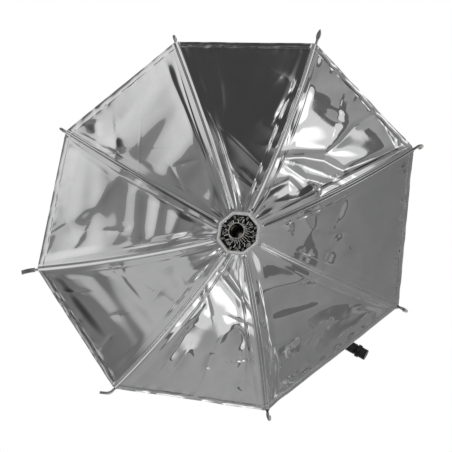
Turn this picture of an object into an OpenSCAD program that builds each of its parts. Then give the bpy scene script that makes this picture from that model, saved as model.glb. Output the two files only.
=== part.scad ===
// Flash bulb gun with a folding umbrella reflector of mirror film on eight wire ribs.
// Each piece is drawn in an optical frame: +Z along the beam, +Y up, z = 0 at the rib pivots.
// place() then turns it upright, with the origin at the mounting post's shoulder.

/* [Reflector] */
// Radius of the film's corners
rim_r = 105; // [95:1:115]
// Height of the film's corners above the rib pivots
rim_z = 47; // [44:0.5:50]
// Radius of the corners of the octagonal hole in the film
hole_r = 11.5; // [11.4:0.1:12.4]
// Height of the hole's edge above the rib pivots
hole_z = 1.9; // [1.9:0.1:2.3]
// Bow of a rib, as the rise of its arc
rib_bow = 6; // [4:0.5:8]
// Thickness of the film
film_t = 0.3; // [0.2:0.05:0.4]
// Seam gap between a rib pocket and the panel beside it
film_gap = 0.35; // [0.3:0.05:0.6]
// Diameter of a rib's wire
wire_d = 1.4; // [1.2:0.1:1.6]
// Air between a rib's wire and its pocket
wire_gap = 0.25; // [0.2:0.05:0.4]
// Length of wire past the film's corner
tip_len = 1.6; // [1.2:0.1:2.4]

/* [Fold] */
// Radius of the circle of rib pivots
pivot_r = 10; // [9.8:0.1:10.2]
// Angle that a rib turns to fold
fold_a = 65; // [60:0.5:65]
// Length of a rib's crank
crank_l = 7.5; // [7:0.1:8]
// Thickness of a rib's flattened root
root_t = 1.4; // [1.2:0.1:1.5]
// Width of a rib's crank
crank_w = 2; // [1.8:0.1:2.2]
// Diameter of the hinge pins and crank pins
pin_d = 1.2; // [1:0.1:1.3]
// Running clearance of a rib on its hinge pin, on the radius
pin_gap = 0.05; // [0.03:0.01:0.08]
// Air beside a rib's root in its fork and ears
side_gap = 0.2; // [0.15:0.05:0.3]
// Air above and below a crank pin in the runner's slot
slot_gap = 0.22; // [0.2:0.02:0.3]

/* [Hub] */
// Thickness of an ear on the crown
ear_t = 1.1; // [0.9:0.1:1.2]
// Radius of an ear round its hinge pin
ear_r = 1.6; // [1.5:0.05:1.7]
// Thickness of the crown's webs
web_t = 0.7; // [0.5:0.1:0.9]
// Depth of the crown
crown_h = 3.5; // [3:0.1:4]
// Distance from the axis to a near side of the crown's rim
rim_near = 8.9; // [8.6:0.1:9.2]
// Distance from the axis to a far side of the crown's rim
rim_far = 9.9; // [9.6:0.1:10.1]
// Bore of the bulb socket
socket_d = 8.4; // [8:0.1:8.6]
// Wall of the socket tube
socket_wall = 0.7; // [0.6:0.05:0.8]
// Height of the socket's mouth above the rib pivots
socket_z = 7.2; // [6:0.2:9]
// Length of the socket tube, which guides the bulb's stem
socket_len = 10; // [9:0.5:11]
// Free depth of the socket down to its contact
socket_depth = 10.5; // [10:0.5:11.5]
// Outer diameter of the neck tube
neck_d = 15; // [14.6:0.1:15.2]
// Wall of the neck tube
neck_wall = 1.3; // [1.1:0.1:1.4]
// Running clearance of the runner on the neck, on the radius
neck_gap = 0.06; // [0.03:0.01:0.1]
// Play of a piece that is let into another
seat_gap = 0.05; // [0.03:0.01:0.08]

/* [Runner] */
// Outer radius of the runner's ring
runner_r = 10.6; // [10.2:0.1:11]
// Height of the runner's ring
runner_h = 7.5; // [6.5:0.5:8]
// Thickness of a cheek of the runner's forks
cheek_t = 1; // [0.8:0.1:1.2]
// Outer radius of the grip ring
grip_r = 14; // [13:0.25:14.5]
// Height of the grip ring
grip_h = 4; // [3:0.5:4.5]
// Number of finger flutes on the grip ring
flutes = 24; // [16:4:32]

/* [Case] */
// Width of the case
case_w = 54; // [54:1:60]
// Height of the case
case_h = 94; // [94:1:100]
// Depth of the case
case_d = 24; // [24:0.5:27]
// Wall of the case
wall = 1.6; // [1.4:0.1:1.8]
// Corner radius of the case
case_r = 6; // [4:0.5:8]
// Radius of the edges round the case's front and back
case_edge = 1.2; // [0.8:0.1:1.4]
// Distance from the reflector's axis to the case's right side
case_right = 22; // [22:0.5:24]
// Distance from the reflector's axis to the case's top
case_top = 20; // [20:0.5:22]
// Distance from the rib pivots to the case's front face
case_front = 22.5; // [22.5:0.5:25]
// Play round the battery door
door_gap = 0.25; // [0.2:0.05:0.35]
// Width of the battery door
door_w = 30; // [29:0.5:31]
// Height of the battery door
door_h = 53; // [52.5:0.5:54]
// Diameter of the door's hinge pin
hinge_d = 1.6; // [1.4:0.1:1.8]

/* [Controls] */
// Diameter of the eject button
eject_d = 9.8; // [9:0.2:10.4]
// Travel of the eject button
eject_travel = 4; // [3:0.5:4.5]
// Diameter of the test button
test_d = 6; // [5:0.2:6.4]
// Travel of the test button
test_travel = 0.8; // [0.6:0.1:1]
// Air round a button in its hole, on the radius
button_gap = 0.1; // [0.05:0.05:0.2]

/* [Mounting post] */
// Diameter of the post's spigot
post_d = 6.1; // [5.6:0.1:6.6]
// Length of the spigot below the shoulder
post_len = 4; // [3.5:0.5:6]
// Diameter of the shoulder flange
flange_d = 7.3; // [7:0.1:8]
// Thickness of the shoulder flange
flange_t = 1.9; // [1.5:0.1:2.4]
// Distance of the post from the case's left side
post_side = 8.5; // [8:0.5:10]
// Distance of the post's shoulder below the reflector's axis
post_drop = 86.6; // [86:0.2:90]

/* [Inside] */
// Width of the battery
batt_w = 26; // [25:0.5:26.5]
// Height of the battery
batt_h = 50; // [48:0.5:50.5]
// Thickness of the battery
batt_t = 15; // [14:0.5:15.5]
// Diameter of the capacitor
cap_d = 13; // [12:0.5:13.5]
// Length of the capacitor
cap_l = 32; // [28:1:34]
// Width of the terminal board
board_w = 24; // [20:1:25]
// Air between the battery and the case's right side, where the test button's seat stands
batt_side = 4.4; // [4.2:0.1:5]
// Room for the contact leaf under the battery
leaf_gap = 2.4; // [2:0.1:3]

/* [Hidden] */
$fn = 64;
RIBS = 8;
STEP_A = 360 / RIBS;
HALF_A = STEP_A / 2;

// Small gap that keeps two faces from meeting
EPS = 0.05;

// The rib's arc in its own radial plane: x is the radius and z the height
chord_x = rim_r - hole_r;
chord_z = rim_z - hole_z;
chord_l = sqrt(chord_x * chord_x + chord_z * chord_z);
chord_a = atan2(chord_z, chord_x);
arc_r = (chord_l * chord_l / 4 + rib_bow * rib_bow) / (2 * rib_bow);
arc_half = asin(chord_l / (2 * arc_r));
arc_x = hole_r + chord_x / 2 - (arc_r - rib_bow) * sin(chord_a);
arc_z = hole_z + chord_z / 2 + (arc_r - rib_bow) * cos(chord_a);
// Wire line behind the film
wire_off = film_t / 2 + wire_gap + wire_d / 2;
wire_r = arc_r + wire_off;
wire_start = 4.5;
wire_end = tip_len;
start_a = chord_a - arc_half + wire_start / arc_r * 180 / PI;
end_a = chord_a + arc_half + wire_end / arc_r * 180 / PI;

// A point on the rib's arc, t from 0 at the hole to 1 at the rim, off towards the back
function arc_point(t, off = 0) =
    let (a = chord_a - arc_half + 2 * arc_half * t)
    [arc_x + (arc_r + off) * sin(a), arc_z - (arc_r + off) * cos(a)];
function wire_point(a) = [arc_x + wire_r * sin(a), arc_z - wire_r * cos(a)];
// The radius that a point of the rib's plane has once the rib is folded
function folded_r(p) = pivot_r + (p[0] - pivot_r) * cos(fold_a) - p[1] * sin(fold_a);
// Share of the way to the next rib at which the pocket ends, so that folded pockets just meet
function edge_w(t, gap) =
    let (p = arc_point(t))
    (tan(HALF_A) * folded_r(p) - gap)
    / (p[0] * (sin(STEP_A) + tan(HALF_A) * cos(fold_a) * (1 - cos(STEP_A))));
// A point on the film: w from 0 on rib i to 1 on the next rib
function film_point(i, t, w, off) =
    let (p = arc_point(t, off), a = azimuth(i), b = azimuth(i + 1))
    [p[0] * (cos(a) * (1 - w) + cos(b) * w), p[0] * (sin(a) * (1 - w) + sin(b) * w), p[1]];
function azimuth(i) = -90 + STEP_A * (i - 1);

film_rows = 12;

// Crank and runner
crank_a = fold_a / 2;
crank_x = pivot_r + crank_l * cos(crank_a);
crank_z = -crank_l * sin(crank_a);
fold_travel = 2 * crank_l * sin(crank_a);
fork_gap = root_t + 2 * side_gap;
slot_in = crank_x - pin_d / 2 - slot_gap;
slot_out = pivot_r + crank_l + pin_d / 2 + slot_gap;
cheek_in = slot_in - 1;
cheek_out = slot_out + 1;
cheek_top = crank_z + pin_d / 2 + slot_gap + 1;
runner_low = -case_front + 1.5 + EPS;
runner_top = runner_low + runner_h;
spoke_h = 2.5;

// Hub
socket_r = socket_d / 2;
socket_out = socket_r + socket_wall;
socket_low = socket_z - socket_len;
tail_low = -crown_h - 4.5;
tip_top = socket_z - socket_depth;
tip_h = 1.4;
rod_r = 1.25;
insul_top = tip_top - tip_h - EPS;
insul_low = -12;
neck_r = neck_d / 2;
neck_in = neck_r - neck_wall;
nut_t = 1.6;
nut_r = 10;
neck_tail = 4.3;
ear_in = 6.6;
ear_rise = 0.25;
web_top = -0.4;
gusset_top = 1.1;

// Case
front_z = -case_front;
back_z = front_z - case_d;
split_z = front_z - case_d / 2;
inner_front = front_z - wall;
inner_back = back_z + wall;
neck_low = inner_front - nut_t - neck_tail;
case_x = case_right - case_w / 2;
case_y = case_top - case_h / 2;
left_x = case_right - case_w;
low_y = case_top - case_h;
post_x = -left_x - post_side;
post_z = split_z;
post_pad = 1;
post_pad_w = post_d + 4.4;
post_head = 4;
post_head_top = low_y + wall + post_pad + post_head;
boss_r = 2.6;
screw_r = 1.1;
screw_head_r = 2;
screw_head_t = 0.7;
screw_sunk = 0.3;
screw_l = 15;
screw_in = 5;
screw_air = 0.6;
screw_low = post_head_top + screw_air + boss_r;
screw_at = [[left_x + screw_in, case_top - screw_in], [case_right - screw_in, case_top - screw_in],
            [-post_x, screw_low]];
batt_x = case_right - wall - batt_side - batt_w / 2;
batt_top = low_y + wall + leaf_gap + batt_h;
batt_back = inner_back + 0.3;
batt_r = 2;
door_edge = 2.5;
door_x = batt_x;
door_y = low_y + door_edge + door_h / 2;
hinge_x = door_x + door_w / 2 + 1.9;
hinge_z = back_z - 0.5;
knuckle_r = hinge_d / 2 + 0.8;
knuckle_l = 12;
cap_x = (left_x + wall + batt_x - batt_w / 2) / 2;
cap_top = screw_low + boss_r + screw_air + cap_l;
cap_roll = 3.2;
resistor_r = 1.1;
resistor_l = 9;
board_z = inner_front - 1.1;
board_t = 1.4;
board_low = 4;
board_high = 2;
test_y = -30;
test_z = front_z - 6.2;
test_flange_r = test_d / 2 + 1;
test_flange_x = case_right - wall - 0.1;
test_flange_t = 1.2;
test_seat_x = test_flange_x - test_flange_t - test_travel - 0.8;
lamp_x = case_right - 10;
lamp_y = case_top - 9;
lamp_r = 2.4;
sync_y = -8;
sync_z = front_z - 6.2;
sync_r = 3.2;
sync_bore = 2.2;
eject_flange_r = eject_d / 2 + 1.5;
eject_flange_t = 1.4;
eject_out = 2;
rod_collar_z = inner_back + 7.9;
rod_collar_r = 3;

// Turns the optical frame upright, with the origin at the post's shoulder
module place() {
    translate([post_x, split_z, post_drop])
        rotate([90, 0, 0])
            children();
}

// A closed sheet between two grids of points, each a list of rows
module sheet(front, back) {
    rows = len(front);
    cols = len(front[0]);
    count = rows * cols;
    points = concat([for (row = front) for (p = row) p], [for (row = back) for (p = row) p]);
    faces = concat(
        [for (r = [0 : rows - 2]) for (c = [0 : cols - 2])
            for (f = [[0, 1, cols], [1, cols + 1, cols]]) [for (k = f) r * cols + c + k]],
        [for (r = [0 : rows - 2]) for (c = [0 : cols - 2])
            for (f = [[0, cols, 1], [1, cols, cols + 1]]) [for (k = f) count + r * cols + c + k]],
        [for (c = [0 : cols - 2]) for (f = [[c, count + c, c + 1], [c + 1, count + c, count + c + 1]]) f],
        [for (c = [0 : cols - 2])
            let (k = (rows - 1) * cols + c)
            for (f = [[k, k + 1, count + k], [k + 1, count + k + 1, count + k]]) f],
        [for (r = [0 : rows - 2])
            let (k = r * cols)
            for (f = [[k, k + cols, count + k], [k + cols, count + k + cols, count + k]]) f],
        [for (r = [0 : rows - 2])
            let (k = r * cols + cols - 1)
            for (f = [[k, count + k, k + cols], [k + cols, count + k, count + k + cols]]) f]);
    polyhedron(points, faces);
}

// A rounded rectangle about its centre
module rounded(w, h, r) {
    square([w - 2 * r, h], center = true);
    square([w, h - 2 * r], center = true);
    for (x = [-1, 1], y = [-1, 1])
        translate([x * (w / 2 - r), y * (h / 2 - r)])
            circle(r);
}

// A bar with round ends in a rib's plane, from one point to another, centred on that plane
module flat_bar(from, to, width, thick) {
    dx = to[0] - from[0];
    dz = to[1] - from[1];
    translate([from[0], thick / 2, from[1]])
        rotate([90, 0, 0])
            rotate([0, 0, atan2(dz, dx)]) {
                cylinder(r = width / 2, h = thick);
                translate([0, -width / 2, 0])
                    cube([sqrt(dx * dx + dz * dz), width, thick]);
                translate([sqrt(dx * dx + dz * dz), 0, 0])
                    cylinder(r = width / 2, h = thick);
            }
}

// A pin through a rib's plane
module cross_pin(x, z, r, l) {
    translate([x, l / 2, z])
        rotate([90, 0, 0])
            cylinder(r = r, h = l);
}

// Wire tip drawn from its end at the origin, pointing along +X, with +Z to the front
leaf_l = 7;
leaf_w = 2.3;
flat_t = 0.8;
curl_r = 1.5;
hook_r = 3.2;
hook_l = 3.4;
swell_r = wire_d / 2 + 0.08;
tip_in = 0.3;

module leaf_tip() {
    arc = (leaf_l * leaf_l / 4 + leaf_w * leaf_w / 4) / leaf_w;
    intersection_for (side = [-1, 1])
        translate([leaf_l / 2 - 0.8, side * (arc - leaf_w / 2), -flat_t / 2])
            cylinder(r = arc, h = flat_t, $fn = 128);
}

module bent_tip() {
    bend = 10;
    translate([-0.6, leaf_w / 2, -bend])
        rotate([90, 0, 0])
            rotate([0, 0, 90 - 42])
                rotate_extrude(angle = 42)
                    translate([bend - flat_t / 2, 0])
                        square([flat_t, leaf_w]);
}

module hook_tip() {
    turn = 32;
    end_x = hook_r * cos(turn) - tip_in * (1 + sin(turn));
    end_y = hook_r * (sin(turn) - 1) + tip_in * cos(turn);
    translate([-tip_in, -hook_r, 0])
        rotate([0, 0, turn])
            rotate_extrude(angle = 90 - turn)
                translate([hook_r, 0])
                    circle(swell_r);
    translate([end_x, end_y, 0])
        rotate([90, 0, turn])
            cylinder(r = wire_d / 2, h = hook_l + tip_in);
}

module curl_tip() {
    turn = 235;
    translate([-tip_in, 0, -curl_r])
        rotate([90, 0, 0])
            rotate([0, 0, 90 - turn])
                rotate_extrude(angle = turn)
                    translate([curl_r, 0])
                        circle(swell_r);
}

// Ribs turn with their wires, hooks and cranks as one formed piece
module rib(i) {
    first = wire_point(start_a);
    last = wire_point(end_a);
    color("gainsboro")
        rotate([0, 0, azimuth(i)]) {
            difference() {
                union() {
                    cross_pin(pivot_r, 0, ear_r - 0.1, root_t);
                    flat_bar([pivot_r, 0], [crank_x, crank_z], crank_w, root_t);
                    flat_bar([pivot_r, 0], first, crank_w, root_t);
                }
                cross_pin(pivot_r, 0, pin_d / 2 + pin_gap, root_t + 2);
            }
            cross_pin(crank_x, crank_z, pin_d / 2, fork_gap + 2 * cheek_t);
            translate([arc_x, 0, arc_z])
                rotate([90, 0, 0])
                    rotate([0, 0, start_a - 90])
                        rotate_extrude(angle = end_a - start_a, $fn = 128)
                            translate([wire_r, 0])
                                circle(wire_d / 2);
            translate([last[0], 0, last[1]])
                rotate([0, -end_a, 0])
                    if (i == 3)
                        leaf_tip();
                    else if (i == 6)
                        bent_tip();
                    else if (i == 7)
                        hook_tip();
                    else
                        curl_tip();
        }
}

// Rib pocket: the strip of film that holds one wire, cut so that folded pockets close into a tube
module rib_pocket(i) {
    function row(t, off) =
        let (w = edge_w(t, film_gap / 2))
        [film_point(i - 1, t, 1 - w, off), film_point(i, t, 0, off), film_point(i, t, w, off)];
    color("silver")
        sheet([for (k = [0 : film_rows]) row(k / film_rows, -film_t / 2)],
              [for (k = [0 : film_rows]) row(k / film_rows, film_t / 2)]);
}

// The panels of film between the pockets
module reflector_film() {
    function row(i, t, off) =
        let (w = edge_w(t, -film_gap / 2))
        [film_point(i, t, w, off), film_point(i, t, 1 - w, off)];
    color("silver")
        for (i = [1 : RIBS])
            sheet([for (k = [0 : film_rows]) row(i, k / film_rows, -film_t / 2)],
                  [for (k = [0 : film_rows]) row(i, k / film_rows, film_t / 2)]);
}

// Crown: a star of thin webs that carries the rib hinges round the socket
module crown_web(from, to, high = web_top) {
    dx = to[0] - from[0];
    dy = to[1] - from[1];
    run = sqrt(dx * dx + dy * dy);
    low = 2 * ear_rise - crown_h;
    end = high > web_top ? web_top - 0.2 : web_top;
    translate([from[0], from[1], 0])
        rotate([0, 0, atan2(dy, dx)])
            translate([0, web_t / 2, 0])
                rotate([90, 0, 0])
                    linear_extrude(web_t)
                        polygon([[0, low], [run, low], [run, end], [0, high]]);
}

module crown() {
    ear_y = root_t / 2 + side_gap;
    tail_r = neck_in - seat_gap;
    vee_r = 7.4;
    color("darkgray")
        difference() {
            union() {
                translate([0, 0, -crown_h])
                    cylinder(r1 = neck_r, r2 = socket_out + 0.7, h = crown_h + 1.8);
                translate([0, 0, tail_low])
                    cylinder(r = tail_r, h = -tail_low);
                for (i = [1 : RIBS]) {
                    rotate([0, 0, azimuth(i)])
                        for (side = [-1, 1])
                            translate([0, side > 0 ? ear_y : -ear_y - ear_t, 0]) {
                                translate([pivot_r, ear_t, 0])
                                    rotate([90, 0, 0])
                                        cylinder(r = ear_r, h = ear_t);
                                translate([ear_in - 1, 0, ear_rise - crown_h])
                                    cube([pivot_r - ear_in + 1, ear_t, crown_h + 0.6 - ear_rise]);
                            }
                    rotate([0, 0, azimuth(i) + HALF_A]) {
                        side_r = i % 2 == 0 ? rim_near : rim_far;
                        bar = side_r * tan(HALF_A) - 1.4;
                        crown_web([socket_out, 0], [side_r, 0], gusset_top);
                        crown_web([side_r, -bar], [side_r, bar]);
                        for (side = [-1, 1])
                            crown_web([side_r, side * bar], [vee_r, 0]);
                    }
                }
            }
            translate([0, 0, -50])
                cylinder(r = socket_out + seat_gap, h = 100);
            for (i = [1 : RIBS])
                rotate([0, 0, azimuth(i)]) {
                    translate([ear_in, -ear_y, -crown_h - 1])
                        cube([10, 2 * ear_y, crown_h + 8]);
                    cross_pin(pivot_r, 0, pin_d / 2, 12);
                }
        }
}

module rib_pins() {
    color("gray")
        for (i = [1 : RIBS])
            rotate([0, 0, azimuth(i)])
                cross_pin(pivot_r, 0, pin_d / 2, root_t + 2 * side_gap + 2 * ear_t);
}

module socket_tube() {
    color("whitesmoke")
        translate([0, 0, socket_low])
            difference() {
                cylinder(r = socket_out, h = socket_z - socket_low);
                translate([0, 0, -1])
                    cylinder(r = socket_r, h = socket_z - socket_low + 2);
            }
}

module socket_insulator() {
    color("saddlebrown")
        difference() {
            union() {
                translate([0, 0, insul_low])
                    cylinder(r = neck_in - seat_gap, h = tail_low - insul_low);
                translate([0, 0, insul_low])
                    cylinder(r = socket_out, h = insul_top - insul_low);
            }
            translate([0, 0, insul_low - 1])
                cylinder(r = rod_r + pin_gap, h = 30);
        }
}

// Centre contact, on the end of the rod that pushes the spent bulb out
module contact_tip() {
    color("gold")
        translate([0, 0, tip_top - tip_h])
            difference() {
                cylinder(r1 = 2.2, r2 = 1.6, h = tip_h);
                translate([0, 0, -EPS])
                    cylinder(r = rod_r, h = tip_h / 2);
            }
}

module eject_rod() {
    color("silver") {
        translate([0, 0, inner_back + eject_flange_t + 0.1])
            cylinder(r = rod_r, h = tip_top - tip_h / 2 - EPS - inner_back - eject_flange_t - 0.1);
        translate([0, 0, rod_collar_z - 1])
            cylinder(r = rod_collar_r, h = 1);
    }
}

module eject_button() {
    dish_r = 14;
    color("black")
        difference() {
            union() {
                translate([0, 0, back_z - eject_out])
                    cylinder(r = eject_d / 2, h = eject_out + wall + 0.2);
                translate([0, 0, inner_back + 0.1])
                    cylinder(r = eject_flange_r, h = eject_flange_t);
            }
            translate([0, 0, back_z - eject_out + 0.5 - dish_r])
                sphere(r = dish_r);
        }
}

// Return spring of the eject rod, as the sleeve of its turns
module eject_spring() {
    color("silver")
        translate([0, 0, rod_collar_z])
            difference() {
                cylinder(r = rod_r + 1.2, h = insul_low - rod_collar_z);
                translate([0, 0, -1])
                    cylinder(r = rod_r + 0.4, h = insul_low - rod_collar_z + 2);
            }
}

module neck_tube() {
    color("silver")
        difference() {
            union() {
                translate([0, 0, neck_low])
                    cylinder(r = neck_r, h = -crown_h - neck_low);
                translate([0, 0, front_z])
                    cylinder(r = runner_r, h = 1.5);
            }
            translate([0, 0, neck_low - 1])
                cylinder(r = neck_in, h = 60);
        }
}

module neck_nut() {
    color("dimgray")
        translate([0, 0, inner_front - nut_t])
            difference() {
                cylinder(r = nut_r, h = nut_t, $fn = 6);
                translate([0, 0, -1])
                    cylinder(r = neck_r + seat_gap, h = nut_t + 2);
            }
}

// Runner: a ring on the neck with eight upright forks, slotted for the crank pins
module runner() {
    color("dimgray")
        difference() {
            union() {
                translate([0, 0, runner_low])
                    cylinder(r = runner_r, h = runner_h);
                for (i = [1 : RIBS])
                    rotate([0, 0, azimuth(i)]) {
                        translate([runner_r - 1, -fork_gap / 2 - cheek_t, runner_top - spoke_h])
                            cube([cheek_out - runner_r + 1, fork_gap + 2 * cheek_t, spoke_h]);
                        for (side = [-1, 1])
                            translate([cheek_in, side > 0 ? fork_gap / 2 : -fork_gap / 2 - cheek_t,
                                       runner_top - spoke_h])
                                cube([cheek_out - cheek_in, cheek_t, cheek_top - runner_top + spoke_h]);
                    }
            }
            translate([0, 0, runner_low - 1])
                cylinder(r = neck_r + neck_gap, h = runner_h + 2);
            for (i = [1 : RIBS])
                rotate([0, 0, azimuth(i)]) {
                    slot_r = pin_d / 2 + slot_gap;
                    cross_pin(slot_in + slot_r, crank_z, slot_r, 12);
                    cross_pin(slot_out - slot_r, crank_z, slot_r, 12);
                    translate([slot_in + slot_r, -6, crank_z - slot_r])
                        cube([slot_out - slot_in - 2 * slot_r, 12, 2 * slot_r]);
                }
        }
}

module grip_ring() {
    color("black")
        translate([0, 0, runner_low])
            difference() {
                cylinder(r = grip_r, h = grip_h);
                translate([0, 0, -1])
                    cylinder(r = runner_r, h = grip_h + 2);
                for (k = [0 : flutes - 1])
                    rotate([0, 0, k * 360 / flutes])
                        translate([grip_r + 0.5, 0, -1])
                            cylinder(r = 1.1, h = grip_h + 2, $fn = 24);
            }
}

// A block with round corners and a round edge along its floor
module soft_block(w, h, depth, r, edge) {
    translate([0, 0, edge])
        linear_extrude(depth - edge)
            rounded(w, h, r);
    linear_extrude(edge)
        rounded(w - 2 * edge, h - 2 * edge, r - edge);
    for (turn = [0, 90, 180, 270])
        rotate([0, 0, turn]) {
            long = turn % 180 == 0 ? w : h;
            far = turn % 180 == 0 ? h : w;
            translate([-long / 2 + r, far / 2 - edge, 0])
                rotate([90, 0, 90])
                    linear_extrude(long - 2 * r)
                        edge_profile(edge);
            translate([long / 2 - r, far / 2 - r, 0])
                rotate_extrude(angle = 90)
                    translate([r - edge, 0])
                        edge_profile(edge);
        }
}

// A quarter round, with its centre at the top of its left side
module edge_profile(edge) {
    intersection() {
        translate([0, edge])
            circle(edge);
        square(edge);
    }
}

// Half of the case as an open box, floor at the back of the shape and rim at its mouth
module half_shell(depth) {
    difference() {
        soft_block(case_w, case_h, depth, case_r, case_edge);
        translate([0, 0, wall])
            linear_extrude(depth)
                rounded(case_w - 2 * wall, case_h - 2 * wall, case_r - wall);
    }
}

module at_screws() {
    for (at = screw_at)
        translate([at[0], at[1], 0])
            children();
}

module front_case() {
    color([0.1, 0.1, 0.1])
        difference() {
            union() {
                translate([case_x, case_y, front_z])
                    mirror([0, 0, 1])
                        half_shell(case_d / 2);
                at_screws()
                    translate([0, 0, split_z])
                        cylinder(r = boss_r, h = case_d / 2 - wall + EPS);
                for (y = [cap_top - cap_l * 0.25, cap_top - cap_l * 0.75])
                    translate([cap_x - 4, y - 1, split_z + 1])
                        cube([8, 2, case_d / 2 - wall]);
                for (y = [batt_top - 6, batt_top - batt_h + 8])
                    translate([batt_x, y, board_z])
                        cylinder(r = 2, h = 2);
                translate([test_seat_x - 1, test_y - 4, test_z - 3])
                    cube([1, 8, 3 - test_z + inner_front + EPS]);
                post_seat(1);
            }
            translate([0, 0, front_z - wall - 1])
                cylinder(r = neck_r + seat_gap, h = wall + 2);
            at_screws()
                translate([0, 0, split_z - 1])
                    cylinder(r = screw_r, h = 9);
            translate([cap_x, cap_top - cap_l - 2, split_z])
                rotate([-90, 0, 0])
                    cylinder(r = cap_d / 2 + seat_gap, h = cap_l + 4);
            translate([case_right - wall - 1, test_y, test_z])
                rotate([0, 90, 0])
                    cylinder(r = test_d / 2 + button_gap, h = wall + 2);
            translate([left_x - 1, sync_y, sync_z])
                rotate([0, 90, 0])
                    cylinder(r = sync_r, h = wall + 2);
            post_hole();
        }
}

module post_hole() {
    translate([-post_x, low_y - 1, post_z])
        rotate([-90, 0, 0])
            cylinder(r = post_d / 2, h = wall + post_pad + 2);
}

// Half of the pad under the post's head, on the front or the rear side of the split
module post_seat(side) {
    translate([-post_x - post_pad_w / 2, low_y + wall - EPS, side > 0 ? split_z : split_z - post_pad_w / 2])
        cube([post_pad_w, post_pad + EPS, post_pad_w / 2]);
}

module rear_case() {
    color([0.1, 0.1, 0.1])
        difference() {
            union() {
                translate([case_x, case_y, back_z])
                    half_shell(case_d / 2);
                at_screws()
                    translate([0, 0, inner_back - EPS])
                        cylinder(r = boss_r, h = case_d / 2 - wall + EPS);
                for (side = [-1, 1])
                    translate([hinge_x, door_y + side * (knuckle_l + 6.4), 0])
                        hinge_knuckle(-1);
                post_seat(-1);
            }
            translate([0, 0, back_z - 1])
                cylinder(r = eject_d / 2 + button_gap, h = wall + 2);
            translate([door_x, door_y, back_z - 1])
                linear_extrude(wall + 2)
                    rounded(door_w + 2 * door_gap, door_h + 2 * door_gap, 1.5);
            at_screws()
                translate([0, 0, back_z - 1]) {
                    cylinder(r = screw_r, h = 20);
                    cylinder(r = screw_head_r, h = 2);
                }
            translate([hinge_x, door_y - 30, hinge_z])
                rotate([-90, 0, 0])
                    cylinder(r = hinge_d / 2, h = 60);
            translate([hinge_x - knuckle_r - door_gap, door_y - knuckle_l / 2 - door_gap, back_z - 5])
                cube([2 * (knuckle_r + door_gap), knuckle_l + 2 * door_gap, 5 + knuckle_r - 0.5 + door_gap]);
            translate([lamp_x, lamp_y, back_z - 1])
                cylinder(r = lamp_r, h = wall + 2);
            post_hole();
        }
}

// A hinge barrel on its foot; the foot points back into the case or along the door
module hinge_knuckle(foot) {
    translate([0, -knuckle_l / 2, hinge_z])
        rotate([-90, 0, 0])
            cylinder(r = knuckle_r, h = knuckle_l);
    if (foot < 0)
        translate([-knuckle_r, -knuckle_l / 2, hinge_z])
            cube([2 * knuckle_r, knuckle_l, back_z - hinge_z + wall / 2]);
}

module battery_door() {
    color([0.12, 0.12, 0.12])
        difference() {
            union() {
                translate([door_x, door_y, back_z])
                    linear_extrude(wall)
                        rounded(door_w, door_h, 1.2);
                translate([hinge_x, door_y, 0])
                    hinge_knuckle(1);
                translate([door_x + door_w / 2 - 1.5, door_y - knuckle_l / 2, back_z - 0.8])
                    cube([hinge_x - door_x - door_w / 2 + 1.5 - hinge_d / 2, knuckle_l, 1.2]);
                for (k = [0 : 4])
                    translate([door_x - door_w / 2 + 2.5 + 1.8 * k, door_y, back_z - 0.5])
                        translate([-0.4, -7, 0])
                            cube([0.8, 14, 1]);
            }
            translate([hinge_x, door_y - 30, hinge_z])
                rotate([-90, 0, 0])
                    cylinder(r = hinge_d / 2 + pin_gap, h = 60);
        }
}

module door_pin() {
    color("silver")
        translate([hinge_x, door_y - knuckle_l * 1.5 - 6.4, hinge_z])
            rotate([-90, 0, 0])
                cylinder(r = hinge_d / 2, h = 3 * knuckle_l + 12.8);
}

module case_screws() {
    color("silver")
        at_screws()
            translate([0, 0, back_z + screw_sunk]) {
                cylinder(r = screw_head_r - seat_gap, h = screw_head_t);
                cylinder(r = screw_r, h = screw_l);
            }
}

module battery() {
    color("royalblue")
        translate([batt_x, batt_top - batt_h, batt_back + batt_t / 2])
            rotate([-90, 0, 0])
                linear_extrude(batt_h)
                    rounded(batt_w, batt_t, batt_r);
}

module battery_strip() {
    color("gold")
        translate([batt_x - 4, batt_top, batt_back + 1]) {
            cube([8, 0.5, board_z - board_t - batt_back - 1]);
            translate([0, -6, board_z - board_t - batt_back - 1.5])
                cube([8, 6.5, 0.5]);
        }
}

module battery_leaf() {
    gap = batt_top - batt_h - low_y - wall;
    color("gold")
        translate([batt_x, low_y + wall, batt_back + batt_t / 2])
            rotate([-90, 0, 0]) {
                cylinder(r = 5, h = 0.5);
                cylinder(r = 2, h = gap);
            }
}

module capacitor() {
    color("steelblue")
        translate([cap_x, cap_top - cap_l, split_z])
            rotate([-90, 0, 0])
                difference() {
                    cylinder(r = cap_d / 2, h = cap_l);
                    translate([0, 0, cap_l - cap_roll])
                        rotate_extrude()
                            translate([cap_d / 2 + 0.3, 0])
                                circle(0.9);
                }
}

// Charging resistor, standing on the capacitor's end
module resistor() {
    color("tan")
        translate([cap_x, cap_top, split_z])
            rotate([-90, 0, 0])
                cylinder(r = resistor_r, h = resistor_l);
}

module terminal_board() {
    color("peru")
        translate([batt_x - board_w / 2, batt_top - batt_h + board_low, board_z - board_t])
            cube([board_w, batt_h - board_low - board_high, board_t]);
}

module test_button() {
    color("firebrick")
        translate([0, test_y, test_z])
            rotate([0, 90, 0]) {
                translate([0, 0, test_flange_x - test_flange_t])
                    cylinder(r = test_flange_r, h = test_flange_t);
                translate([0, 0, test_flange_x - test_flange_t])
                    cylinder(r = test_d / 2, h = case_right + 1.5 - test_flange_x + test_flange_t);
            }
}

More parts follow.
